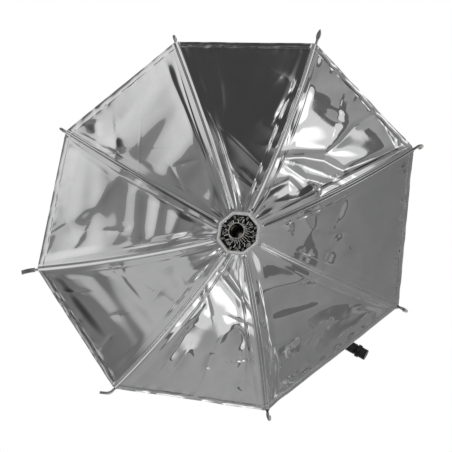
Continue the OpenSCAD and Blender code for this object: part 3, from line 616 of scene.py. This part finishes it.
def mottled(name, base, spot, spots, gloss, metallic=0.0, relief=None):
    """A finish whose base tone has spots of a second tone and whose gloss is uneven.

    spots is (size in mm, greatest share of the second tone, noise detail, noise roughness), gloss is (size in
    mm, least roughness, greatest roughness), and relief is (size in mm, noise detail, strength, height in
    microns).
    """
    made = bpy.data.materials.new(name)
    made.use_nodes = True
    tree = made.node_tree
    tree.nodes.clear()
    size, share, detail, rough = spots
    tones = {"Factor": drift(tree, size, 0, share, detail, rough), "A": base, "B": spot}
    tone = add(tree, "ShaderNodeMix", tones, data_type="RGBA").outputs["Result"]
    inputs = {"Base Color": tone, "Roughness": drift(tree, *gloss), "Metallic": metallic}
    if relief:
        size, detail, strength, microns = relief
        place = add(tree, "ShaderNodeTexCoord").outputs["Object"]
        grain = add(tree, "ShaderNodeTexNoise", {"Vector": place, "Scale": 1 / (size * MM), "Detail": detail})
        skin = {"Height": grain.outputs["Fac"], "Strength": strength, "Distance": microns * 0.001 * MM}
        inputs["Normal"] = add(tree, "ShaderNodeBump", skin).outputs[0]
    shader = add(tree, "ShaderNodeBsdfPrincipled", inputs)
    add(tree, "ShaderNodeOutputMaterial", {"Surface": shader.outputs[0]})
    return made


MATERIALS = {}


def finish_material(name):
    """The named finish, made on first use."""
    if name not in MATERIALS:
        MATERIALS[name] = FINISHES[name](name)
    return MATERIALS[name]


def silvered_polyester(name):
    # Polyester film with vapour-laid aluminium: a clear mirror with a faint orange peel, slightly clouded
    # where it was handled.
    c = colours()
    spots, gloss, peel = (14, 0.4, 4, 0.6), (9, 0.025, 0.06), (1.5, 2, 0.15, 10)
    return mottled(name, c.film, c.film_dull, spots, gloss, 1.0, peel)


def lacquered_back(name):
    # Back of the same film under a dull lacquer: silver, with no clear reflection.
    c = colours()
    return mottled(name, c.film_back, c.film_dull, (6, 0.22, 4, 0.5), (3, 0.3, 0.42), 0.7)


def grey_vinyl(name):
    # Calendered vinyl binding: pale grey, fine leather grain, soft sheen.
    spots, gloss, leather = (3, 0.35, 3, 0.5), (0.5, 0.35, 0.55), (0.5, 3, 0.5, 60)
    return mottled(name, colours().hem, linear("#9a9a98"), spots, gloss, relief=leather)


def metal(name, base, spot, spot_mm, low, high, metallic=1.0, relief=None):
    """A metal with slow changes of gloss and a second tone in spots."""
    spots, gloss = (spot_mm, 0.45, 4, 0.6), (spot_mm * 0.4, low, high)
    return mottled(name, base, linear(spot), spots, gloss, metallic, relief)


def drawn_steel(name):
    # Drawn spring steel: satin, with faint dark handling marks.
    return metal(name, colours().wire, "#7d7b77", 5, 0.2, 0.34)


def zinc_casting(name):
    # Tumbled zinc casting: pale matt oxide skin with a fine cast grain.
    return metal(name, colours().casting, "#b0b0ae", 2.5, 0.36, 0.52, 0.3, (0.35, 2, 0.6, 30))


def crown_casting_with_painted_shade(name):
    # Zinc casting, bare grey on the tops of the star's webs, with painted shade: near black painted into the
    # gaps, on the ears and on the collar, where shade falls.
    made = mottled(name, linear("#d0d0ce"), linear("#a2a2a0"), (2.5, 0.4, 4, 0.6), (1, 0.4, 0.55), 0.4)
    tree = made.node_tree
    place = add(tree, "ShaderNodeTexCoord").outputs["Object"]
    depth = add(tree, "ShaderNodeSeparateXYZ", {0: place}).outputs["Y"]
    flat = add(tree, "ShaderNodeVectorMath", {0: place, 1: (1, 0, 1)}, operation="MULTIPLY").outputs[0]
    axis = (AXIS_X * MM, 0, AXIS_Z * MM)
    radius = add(tree, "ShaderNodeVectorMath", {0: flat, 1: axis}, operation="DISTANCE").outputs["Value"]
    # Where the painted shade starts and ends, in mm: down into the gaps, out to the collar's edge and up onto
    # the ears.
    painted_shade_zones = (
        (depth, AXIS_Y + 0.5, AXIS_Y + 0.75, 0, 1),
        (radius, 6.2, 6.5, 1, 0),
        (depth, AXIS_Y, AXIS_Y + 0.2, 1, 0),
    )
    painted_shade = 0.0
    for value, start, end, first, last in painted_shade_zones:
        span = {"Value": value, "From Min": start * MM, "From Max": end * MM, "To Min": first, "To Max": last}
        zone = add(tree, "ShaderNodeMapRange", span, interpolation_type="SMOOTHSTEP").outputs[0]
        painted_shade = add(tree, "ShaderNodeMath", {0: zone, 1: painted_shade}, operation="MAXIMUM").outputs[0]
    # Mixes the painted shade, near black, over the casting's own tone.
    tone = tree.nodes["Principled BSDF"].inputs["Base Color"]
    tones = {"Factor": painted_shade, "A": tone.links[0].from_socket, "B": linear("#0c0c0c")}
    tree.links.new(add(tree, "ShaderNodeMix", tones, data_type="RGBA").outputs["Result"], tone)
    return made


def runner_casting_painted_dark(name):
    # Zinc casting coloured near black as painted shade behind the hub's gaps: dark, soft gloss, grey in
    # random spots.
    return mottled(name, linear("#101010"), linear("#2c2c2b"), (1.5, 0.4, 4, 0.6), (0.8, 0.35, 0.5))


def nickel_plate(name):
    # Bright nickel on turned brass: a clear, slightly warm gloss.
    return metal(name, colours().nickel, "#a9a49a", 3, 0.08, 0.2)


def contact_brass(name):
    # Rolled brass: yellow, with brown spots of age.
    return metal(name, colours().brass, "#7c5a2b", 2, 0.2, 0.4)


def aluminium_can(name):
    # Drawn aluminium can: soft grey with faint darker spots.
    return metal(name, colours().can, "#8f9295", 6, 0.28, 0.42)


def blackened_steel(name):
    # Turned steel, chemically blackened: near black, dry sheen, grey-brown where it has rubbed.
    return mottled(name, colours().post, linear("#3a3836"), (1.2, 0.5, 4, 0.5), (0.6, 0.42, 0.6), 0.35)


def plastic(name, base, tone, low, high, grain_mm, microns, share=0.35):
    """A moulded plastic with a grained skin."""
    skin = (grain_mm, 2, 0.7, microns)
    return mottled(name, base, linear(tone), (7, share, 4, 0.5), (4, low, high), relief=skin)


def black_styrene(name):
    # Moulded black polystyrene with a spark-eroded grain: soft gloss that breaks up in fine specks.
    return plastic(name, colours().moulding, "#242322", 0.34, 0.48, 0.55, 25)


def red_urea(name):
    # Moulded red urea: even and glossy.
    return plastic(name, colours().button, "#7d130f", 0.2, 0.3, 1.5, 6)


def phenolic_board(name):
    # Paper phenolic: brown, mottled by its fibres, with a waxy gloss.
    return plastic(name, colours().phenolic, "#8a5a34", 0.35, 0.5, 0.4, 10, 0.8)


def lacquered_card(name):
    # Lacquered card jacket: smooth blue with darker clouds.
    return plastic(name, colours().jacket, "#1b2d4d", 0.3, 0.42, 0.8, 8)


def amber_lens(name):
    # Moulded acrylic: half-clear amber, glossy.
    made = mottled(name, colours().lens, linear("#b34c0c"), (2, 0.4, 3, 0.5), (2, 0.08, 0.08))
    shader = made.node_tree.nodes["Principled BSDF"]
    shader.inputs["IOR"].default_value = 1.49
    shader.inputs["Transmission Weight"].default_value = 0.5
    return made


FINISHES = {
    "silvered_polyester_film": silvered_polyester,
    "lacquered_film_back": lacquered_back,
    "calendered_grey_vinyl": grey_vinyl,
    "drawn_spring_steel": drawn_steel,
    "tumbled_zinc_casting": zinc_casting,
    "zinc_casting_with_painted_shade": crown_casting_with_painted_shade,
    "zinc_casting_painted_dark": runner_casting_painted_dark,
    "bright_nickel_plate": nickel_plate,
    "rolled_brass": contact_brass,
    "drawn_aluminium_can": aluminium_can,
    "blackened_turned_steel": blackened_steel,
    "grained_black_styrene": black_styrene,
    "moulded_red_urea": red_urea,
    "paper_phenolic": phenolic_board,
    "lacquered_card": lacquered_card,
    "amber_acrylic": amber_lens,
}


def break_edges(piece, width):
    """Rounds the sharp edges of a piece."""
    edge = piece.modifiers.new("edges", "BEVEL")
    edge.width = width
    edge.segments = 2
    edge.limit_method = "ANGLE"
    edge.angle_limit = math.radians(40)
    return edge


def dress(names, finish, edge_mm=0.0):
    """Gives CAD nodes a finish and, where edge_mm is set, broken edges."""
    for name in names:
        node = NODES[name]
        for slot in node.material_slots:
            slot.material = finish_material(finish)
        if edge_mm:
            weld = node.modifiers.new("weld", "WELD")
            weld.merge_threshold = 1e-6
            break_edges(node, edge_mm * MM).harden_normals = True


class FLASHGUN_OT_film(bpy.types.Operator):
    """Build the mirror film: pockets along the ribs and the webs between them"""

    bl_idname = "flashgun.film"
    bl_label = "Mirror film"

    ROWS, WEB_COLUMNS, POCKET_COLUMNS = 170, 56, 48
    SLEEVE_COLUMNS, SLEEVE_ROWS = 24, 60
    # Half of the sleeve's outline, as (distance aside, distance behind the film) in mm, and the shares of the
    # rib at which it starts and how far it runs.
    SLEEVE = ((0, 2.2), (0.85, 1.75), (1.15, 1.0), (1.5, 0.4), (2.4, 0.2))
    SLEEVE_START, SLEEVE_RUN = 0.085, 0.9
    # Width to which a pocket's strip is cut: the strip and what goes over the wire.
    POCKET_CUT = 0.011
    # Shares of their width to which the folded pockets and webs draw in, and how far in front of a web the
    # plane lies that it draws in to, in mm.
    POCKET_KEEP, WEB_KEEP, WEB_OFF = 0.8, 0.005, 0.25

    def execute(self, context):
        for rib in range(1, RIBS + 1):
            pocket = self.pocket(rib)
            webs = [self.web(rib, side) for side in (1, -1)]
            sleeve = self.sleeve(rib)
            self.declare(rib, pocket, webs, sleeve)
        return {"FINISHED"}

    def coat(self, piece, columns):
        """Silver in front, vinyl on the hub's hem, lacquer behind."""
        for finish in ("silvered_polyester_film", "calendered_grey_vinyl", "lacquered_film_back"):
            piece.data.materials.append(finish_material(finish))
        share = sizes().hub_hem / MM / RIB_LENGTH
        rows = rows_share(np.arange(self.ROWS) / self.ROWS)
        hem_faces(piece, int(np.searchsorted(rows, share)), columns)
        thicken(piece, sizes().film_thickness, 2)

    def pocket(self, rib):
        def place(u, v):
            t = rows_share(v)
            w = (2 * u - 1) * pocket_edge(t)
            before = film_points((rib - 2) % RIBS + 1, t, np.where(w < 0, 1 + w, 1))
            after = film_points(rib, t, np.where(w < 0, 0, w))
            return np.where((w < 0)[:, None], before, after)

        piece = film_piece(f"film_pocket_{rib}", self.POCKET_COLUMNS, self.ROWS, place)
        self.coat(piece, self.POCKET_COLUMNS)
        return piece

    def web(self, rib, side):
        panel = rib if side > 0 else (rib - 2) % RIBS + 1

        def place(u, v):
            t = rows_share(v)
            edge = pocket_edge(t)
            w = edge + (0.5 - edge) * (u if side > 0 else 1 - u)
            return film_points(panel, t, w if side > 0 else 1 - w)

        name = f"film_web_{rib}_{'right' if side > 0 else 'left'}"
        piece = film_piece(name, self.WEB_COLUMNS, self.ROWS, place)
        self.coat(piece, self.WEB_COLUMNS)
        return piece

    def sleeve(self, rib):
        outline = [(-x, off) for x, off in reversed(self.SLEEVE[1:])] + list(self.SLEEVE)
        a = azimuth(rib)

        def place(u, v):
            r, z, slope = rib_arc(self.SLEEVE_START + self.SLEEVE_RUN * v)
            knots = np.linspace(0, 1, len(outline))
            side = np.interp(u, knots, [p[0] for p in outline])
            off = np.interp(u, knots, [p[1] for p in outline])
            r, z = r + off * np.sin(slope), z - off * np.cos(slope)
            x = r * math.cos(a) - side * math.sin(a)
            y = r * math.sin(a) + side * math.cos(a)
            return to_row(np.stack([x, y, z], -1))

        name = f"film_sleeve_{rib}"
        piece = film_piece(name, self.SLEEVE_COLUMNS, self.SLEEVE_ROWS, place, front=(0, 1, 0))
        piece.data.materials.append(finish_material("lacquered_film_back"))
        thicken(piece, sizes().film_thickness)
        return piece

    def declare(self, rib, pocket, webs, sleeve):
        body = f"folding_rib_{rib}"
        for piece in (pocket, sleeve, *webs):
            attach(piece, body)
        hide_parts(f"rib_pocket_{rib}")
        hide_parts("reflector_film")
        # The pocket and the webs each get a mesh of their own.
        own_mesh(pocket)
        for web, side in zip(webs, (1, -1)):
            sheet_area(web)
            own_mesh(web)


class FLASHGUN_OT_hub(bpy.types.Operator):
    """Finish the ribs, the hub, the socket and the runner, and cast the fins round the socket"""

    bl_idname = "flashgun.hub"
    bl_label = "Ribs and hub"

    # Corners as (radius, height) in mm. A fin has its top on the socket's wall and its foot on the crown's
    # collar, and a ridge runs along the top of an ear, on both sides of the rib.
    FIN = ((4.8, 6.0), (4.8, 1.2), (6.2, -0.6), (6.5, -0.5))
    RIDGE = ((6.2, 0.3), (8.7, 0.3), (8.7, 1.05), (6.2, 0.95))
    FIN_THICK, EAR = 0.4, 1.45
    # Angles of the fins from a rib, in degrees.
    FIN_ANGLES = (7.5, 22.5, 37.5)

    def blade(self, bm, corners, degrees, aside=0.0):
        """Adds a thin upright plate that stands at that angle from a rib, moved aside by that many mm."""
        turn = Matrix.Rotation(math.radians(degrees), 3, "Z")
        near = aside - self.FIN_THICK / 2
        spots = [bm.verts.new(row_point(*(turn @ Vector((r, near, z))))) for r, z in corners]
        side = bmesh.ops.contextual_create(bm, geom=spots)["faces"]
        made = bmesh.ops.extrude_face_region(bm, geom=side, use_keep_orig=True)["geom"]
        across = row_direction(*(turn @ Vector((0, self.FIN_THICK * MM, 0))))
        bmesh.ops.translate(bm, verts=[g for g in made if isinstance(g, bmesh.types.BMVert)], vec=across)

    def fins(self):
        bm = bmesh.new()
        for degrees in self.FIN_ANGLES:
            self.blade(bm, self.FIN, degrees)
        for aside in (-self.EAR, self.EAR):
            self.blade(bm, self.RIDGE, 0, aside)
        bmesh.ops.recalc_face_normals(bm, faces=bm.faces)
        bmesh.ops.spin(
            bm,
            geom=bm.verts[:] + bm.edges[:] + bm.faces[:],
            cent=row_point(0, 0, 0),
            axis=row_direction(0, 0, 1),
            angle=STEP * (RIBS - 1),
            steps=RIBS - 1,
            use_duplicate=True,
        )
        piece = new_piece("socket_fins", bm)
        piece.data.materials.append(finish_material("tumbled_zinc_casting"))
        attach(piece, "gun")

    def execute(self, context):
        dress([f"rib_{k}" for k in range(1, RIBS + 1)] + ["rib_pins"], "drawn_spring_steel")
        # The crown's gaps, ears and collar carry painted shade.
        dress(["crown"], "zinc_casting_with_painted_shade", 0.12)
        # The runner is coloured near black as painted shade, seen through the hub's gaps.
        dress(["runner"], "zinc_casting_painted_dark", 0.12)
        dress(["socket_tube"], "bright_nickel_plate", 0.3)
        dress(["neck_tube"], "bright_nickel_plate", 0.12)
        dress(["contact_tip"], "bright_nickel_plate", 0.1)
        dress(["eject_rod"], "drawn_spring_steel")
        dress(["socket_insulator"], "grained_black_styrene")
        dress(["grip_ring"], "grained_black_styrene", 0.2)
        dress(["neck_nut"], "bright_nickel_plate", 0.15)
        self.fins()
        return {"FINISHED"}


class FLASHGUN_OT_case(bpy.types.Operator):
    """Finish the case, its door, buttons and fittings"""

    bl_idname = "flashgun.case"
    bl_label = "Case"

    def execute(self, context):
        dress(["front_case", "rear_case", "battery_door"], "grained_black_styrene", 0.35)
        dress(["eject_button", "sync_insulator"], "grained_black_styrene", 0.3)
        dress(["test_button"], "moulded_red_urea", 0.3)
        dress(["test_lamp"], "amber_acrylic")
        dress(["sync_socket", "door_pin"], "bright_nickel_plate", 0.1)
        dress(["sync_pin"], "rolled_brass")
        dress(["mounting_post"], "blackened_turned_steel", 0.2)
        return {"FINISHED"}


class FLASHGUN_OT_electrics(bpy.types.Operator):
    """Finish the battery, the capacitor and the contacts inside the case"""

    bl_idname = "flashgun.electrics"
    bl_label = "Electrics"

    def execute(self, context):
        dress(["battery"], "lacquered_card", 0.8)
        dress(["battery_strip", "battery_leaf"], "rolled_brass", 0.1)
        dress(["capacitor"], "drawn_aluminium_can", 0.5)
        dress(["resistor"], "paper_phenolic", 0.3)
        dress(["terminal_board"], "paper_phenolic", 0.1)
        return {"FINISHED"}


class FLASHGUN_OT_springs(bpy.types.Operator):
    """Wind the return springs of the eject rod and the test button"""

    bl_idname = "flashgun.springs"
    bl_label = "Springs"

    SIDES, STEPS_PER_TURN = 10, 24
    # Springs as (coil, the CAD sleeve it replaces, the joint that presses it, number of the axis it lies on,
    # radius in mm, turns, share of its length when pressed).
    SPRINGS = (
        ("eject_coil", "eject_spring", "eject_press", 1, 2.05, 11, 0.84),
        ("test_coil", "test_spring", "test_press", 0, 2.25, 2, 0.5),
    )

    def coil(self, name, start, axis, length, radius, turns):
        wire = sizes().spring_wire / 2
        bm = bmesh.new()
        steps = self.STEPS_PER_TURN * turns
        side = axis.orthogonal().normalized()
        ring = bmesh.ops.create_circle(bm, segments=self.SIDES, radius=wire, cap_ends=False)["verts"]
        stand = Matrix.Translation(start + side * radius + axis * wire)
        upright = axis.cross(side).to_track_quat("Z", "Y").to_matrix().to_4x4()
        bmesh.ops.transform(bm, verts=ring, matrix=stand @ upright)
        bmesh.ops.spin(
            bm,
            geom=bm.verts[:] + bm.edges[:],
            cent=start,
            axis=axis,
            dvec=axis * ((length - 2 * wire) / steps),
            angle=2 * math.pi * turns,
            steps=steps,
            use_duplicate=False,
        )
        bmesh.ops.holes_fill(bm, edges=[e for e in bm.edges if e.is_boundary], sides=0)
        bmesh.ops.recalc_face_normals(bm, faces=bm.faces)
        for f in bm.faces:
            f.smooth = len(f.verts) == 4
        piece = new_piece(name, bm)
        piece.data.materials.append(finish_material("drawn_spring_steel"))
        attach(piece, "gun")
        return piece

    def execute(self, context):
        for name, sleeve, joint, number, radius, turns, keep in self.SPRINGS:
            low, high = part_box(sleeve)
            start = (low + high) / 2
            start[number] = low[number]
            axis = Matrix.Identity(3)[number]
            spring = self.coil(name, start, axis, high[number] - low[number], radius * MM, turns)
            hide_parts(sleeve)
            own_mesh(spring)
        return {"FINISHED"}


class FLASHGUN_OT_screws(bpy.types.Operator):
    """Cut the slotted screws that hold the case's halves together"""

    bl_idname = "flashgun.screws"
    bl_label = "Screws"

    # Height of a head, width and depth of its slot, radius of the shank, and how each screw is turned, in
    # degrees.
    HEAD, SLOT, DEEP, SHANK = 0.7 * MM, 0.5 * MM, 0.35 * MM, 1.1 * MM
    TURNS = (20, 75, -40)
    HEAD_SIDES, SHANK_SIDES, EDGE = 40, 24, 0.08 * MM
    # A vertex belongs to a head's face within this of the outermost, and to one screw within this of its
    # first.
    FACE_GAP, SCREW_GAP = 0.05 * MM, 5 * MM

    def places(self):
        """Middle and radius of each head's outer face, read from the CAD screws."""
        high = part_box("case_screws")[1]
        groups = []
        for vertex in NODES["case_screws"].data.vertices:
            if vertex.co.y < high.y - self.FACE_GAP:
                continue
            for group in groups:
                if (group[0] - vertex.co).length < self.SCREW_GAP:
                    group.append(vertex.co.copy())
                    break
            else:
                groups.append([vertex.co.copy()])
        for group in groups:
            xs, zs = [c.x for c in group], [c.z for c in group]
            middle = Vector(((min(xs) + max(xs)) / 2, high.y, (min(zs) + max(zs)) / 2))
            yield middle, (max(xs) - min(xs)) / 2

    def screw(self, bm, radius, length):
        bmesh.ops.create_circle(bm, cap_ends=True, segments=self.HEAD_SIDES, radius=radius)
        for side in (-1, 1):
            bmesh.ops.bisect_plane(
                bm,
                geom=bm.verts[:] + bm.edges[:] + bm.faces[:],
                plane_co=(side * self.SLOT / 2, 0, 0),
                plane_no=(1, 0, 0),
            )
        raised = bm.faces[:]
        for rise in (self.HEAD - self.DEEP, self.DEEP):
            made = bmesh.ops.extrude_face_region(bm, geom=raised, use_keep_orig=rise != self.DEEP)["geom"]
            moved = [g for g in made if isinstance(g, bmesh.types.BMVert)]
            bmesh.ops.translate(bm, verts=moved, vec=(0, 0, rise))
            if rise == self.DEEP:
                bmesh.ops.delete(bm, geom=[f for f in raised if f.is_valid], context="FACES_ONLY")
            tops = [g for g in made if isinstance(g, bmesh.types.BMFace)]
            raised = [f for f in tops if abs(f.calc_center_median().x) > self.SLOT / 2]
        bmesh.ops.recalc_face_normals(bm, faces=bm.faces)
        depth = length - self.HEAD
        shank = bmesh.ops.create_cone(
            bm,
            cap_ends=True,
            segments=self.SHANK_SIDES,
            radius1=self.SHANK,
            radius2=self.SHANK,
            depth=depth,
        )["verts"]
        bmesh.ops.translate(bm, verts=shank, vec=(0, 0, -depth / 2))

    def execute(self, context):
        low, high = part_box("case_screws")
        bm = bmesh.new()
        for (place, radius), turn in zip(self.places(), self.TURNS):
            one = bmesh.new()
            self.screw(one, radius, high.y - low.y)
            stand = Matrix.Translation(place - Vector((0, self.HEAD, 0)))
            upright = Vector((0, 1, 0)).to_track_quat("Z", "X").to_matrix().to_4x4()
            turned = Matrix.Rotation(math.radians(turn), 4, "Z")
            bmesh.ops.transform(one, verts=one.verts, matrix=stand @ upright @ turned)
            part = bpy.data.meshes.new("screw")
            one.to_mesh(part)
            one.free()
            bm.from_mesh(part)
            bpy.data.meshes.remove(part)
        piece = new_piece("slotted_screws", bm)
        piece.data.materials.append(finish_material("bright_nickel_plate"))
        break_edges(piece, self.EDGE)
        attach(piece, "gun")
        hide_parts("case_screws")
        return {"FINISHED"}


class FLASHGUN_OT_stage(bpy.types.Operator):
    """Lay the floor, hang the lamps, colour the room and place the camera"""

    bl_idname = "flashgun.stage"
    bl_label = "Studio"

    FLOOR_RADIUS, FLOOR_HEIGHT = 12.0, -0.32
    # Lamps as (name, place in metres, width in metres, power in watts).
    LAMPS = (
        ("key_lamp", (-0.7, -1.0, 1.1), 0.8, 11),
        ("fill_lamp", (1.1, -0.6, 0.5), 0.9, 5),
        ("back_lamp", (0.3, 1.2, 0.9), 0.8, 7),
    )

    def floor(self):
        bm = bmesh.new()
        bmesh.ops.create_circle(bm, cap_ends=True, segments=96, radius=self.FLOOR_RADIUS)
        bmesh.ops.translate(bm, verts=bm.verts, vec=(0, 0, self.FLOOR_HEIGHT))
        floor = new_piece("studio_floor", bm)
        # Matt paper: pale, with a faint cloudy tone.
        paper = mottled("matt_paper", colours().floor, linear("#ececea"), (60, 0.3, 3, 0.5), (60, 0.8, 0.8))
        floor.data.materials.append(paper)
        floor.visible_glossy = False

    def lamp(self, name, place, aim, size, watts):
        light = bpy.data.lights.new(name, "AREA")
        light.shape = "DISK"
        light.size = size
        light.energy = watts
        lamp = bpy.data.objects.new(name, light)
        lamp.location = place
        lamp.rotation_euler = (Vector(aim) - Vector(place)).to_track_quat("-Z", "Y").to_euler()
        lamp.visible_glossy = False
        bpy.context.scene.collection.objects.link(lamp)

    def room(self):
        world = bpy.data.worlds.new("studio_room")
        bpy.context.scene.world = world
        world.use_nodes = True
        tree = world.node_tree
        tree.nodes.clear()
        direction = add(tree, "ShaderNodeTexCoord").outputs["Generated"]
        parts = add(tree, "ShaderNodeSeparateXYZ", {0: direction}).outputs
        span = {"Value": parts["Z"], "From Min": -1.0, "From Max": 1.0}
        height = add(tree, "ShaderNodeMapRange", span).outputs[0]
        levels = add(tree, "ShaderNodeValToRGB", {"Fac": height})
        stops = levels.color_ramp.elements
        while len(stops) < len(STUDIO_HEIGHTS):
            stops.new(0.5)
        for stop, (place, level) in zip(stops, STUDIO_HEIGHTS):
            stop.position = place
            stop.color = (level, level, level, 1)
        # What is laid over those levels, in turn, as (share, level).
        layers = []
        for towards, level, radius, soft in STUDIO:
            aim = {0: direction, 1: Vector(towards).normalized()}
            near = add(tree, "ShaderNodeVectorMath", aim, operation="DOT_PRODUCT").outputs["Value"]
            outer, inner = math.cos(math.radians(radius + soft)), math.cos(math.radians(radius))
            edge = {"Value": near, "From Min": outer, "From Max": inner}
            share = add(tree, "ShaderNodeMapRange", edge, interpolation_type="SMOOTHSTEP").outputs[0]
            layers.append((share, level))
        slope = add(tree, "ShaderNodeMath", {0: parts["Y"], 1: parts["Z"]}, operation="DIVIDE").outputs[0]
        near = add(tree, "ShaderNodeMath", {0: slope, 1: RAIL_AT, 2: RAIL_HALF}, operation="COMPARE")
        above = add(tree, "ShaderNodeMath", {0: parts["Z"], 1: RAIL_FROM}, operation="GREATER_THAN")
        both = {0: near.outputs[0], 1: above.outputs[0]}
        rail = add(tree, "ShaderNodeMath", both, operation="MULTIPLY").outputs[0]
        span = {"Value": parts["Y"], "From Min": BACKDROP[0], "From Max": BACKDROP[1]}
        behind = add(tree, "ShaderNodeMapRange", span, interpolation_type="SMOOTHSTEP").outputs[0]
        seen = add(tree, "ShaderNodeLightPath").outputs["Is Camera Ray"]
        layers += [(rail, RAIL_LEVEL), (behind, 1), (seen, 1)]
        shade = levels.outputs["Color"]
        for share, level in layers:
            mixed = {"Factor": share, "A": shade, "B": (level, level, level, 1)}
            shade = add(tree, "ShaderNodeMix", mixed, data_type="RGBA").outputs["Result"]
        back = add(tree, "ShaderNodeBackground", {"Color": shade, "Strength": 1.0})
        add(tree, "ShaderNodeOutputWorld", {"Surface": back.outputs[0]})

    def camera(self):
        lens = bpy.data.cameras.new("photo_camera")
        lens.sensor_width = SENSOR
        lens.lens = LENS
        lens.shift_x, lens.shift_y = LENS_SHIFT
        lens.clip_start = 0.01
        camera = bpy.data.objects.new("photo_camera", lens)
        camera.location = CAMERA_PLACE
        camera.rotation_euler = CAMERA_TURN
        bpy.context.scene.collection.objects.link(camera)
        bpy.context.scene.camera = camera

    def execute(self, context):
        bpy.context.scene.view_settings.view_transform = "Standard"
        self.floor()
        self.room()
        aim = (AXIS_X * MM, AXIS_Y * MM, AXIS_Z * MM)
        for name, place, size, watts in self.LAMPS:
            self.lamp(name, place, aim, size, watts)
        self.camera()
        return {"FINISHED"}


OPERATORS = (
    FLASHGUN_OT_film,
    FLASHGUN_OT_hub,
    FLASHGUN_OT_case,
    FLASHGUN_OT_electrics,
    FLASHGUN_OT_springs,
    FLASHGUN_OT_screws,
    FLASHGUN_OT_stage,
)


class FLASHGUN_PT_pieces(bpy.types.Panel):
    """Lists the gun's pieces and its sizes"""

    bl_idname = "FLASHGUN_PT_pieces"
    bl_label = "Flash bulb gun"
    bl_space_type = "VIEW_3D"
    bl_region_type = "UI"
    bl_category = "Flash gun"

    def draw(self, context):
        for operator in OPERATORS:
            self.layout.operator(operator.bl_idname)
        for group in (context.scene.flash_gun_sizes, context.scene.flash_gun_colours):
            box = self.layout.box()
            for key in group.__annotations__:
                box.prop(group, key)


CLASSES = (FlashGunSizes, FlashGunColours, *OPERATORS, FLASHGUN_PT_pieces)


def register():
    for item in CLASSES:
        bpy.utils.register_class(item)
    bpy.types.Scene.flash_gun_sizes = bpy.props.PointerProperty(type=FlashGunSizes)
    bpy.types.Scene.flash_gun_colours = bpy.props.PointerProperty(type=FlashGunColours)


def unregister():
    del bpy.types.Scene.flash_gun_colours
    del bpy.types.Scene.flash_gun_sizes
    for item in reversed(CLASSES):
        bpy.utils.unregister_class(item)


def main():
    register()
    bpy.ops.flashgun.film()
    bpy.ops.flashgun.hub()
    bpy.ops.flashgun.case()
    bpy.ops.flashgun.electrics()
    bpy.ops.flashgun.springs()
    bpy.ops.flashgun.screws()
    bpy.ops.flashgun.stage()


if __name__ == "__main__":
    main()
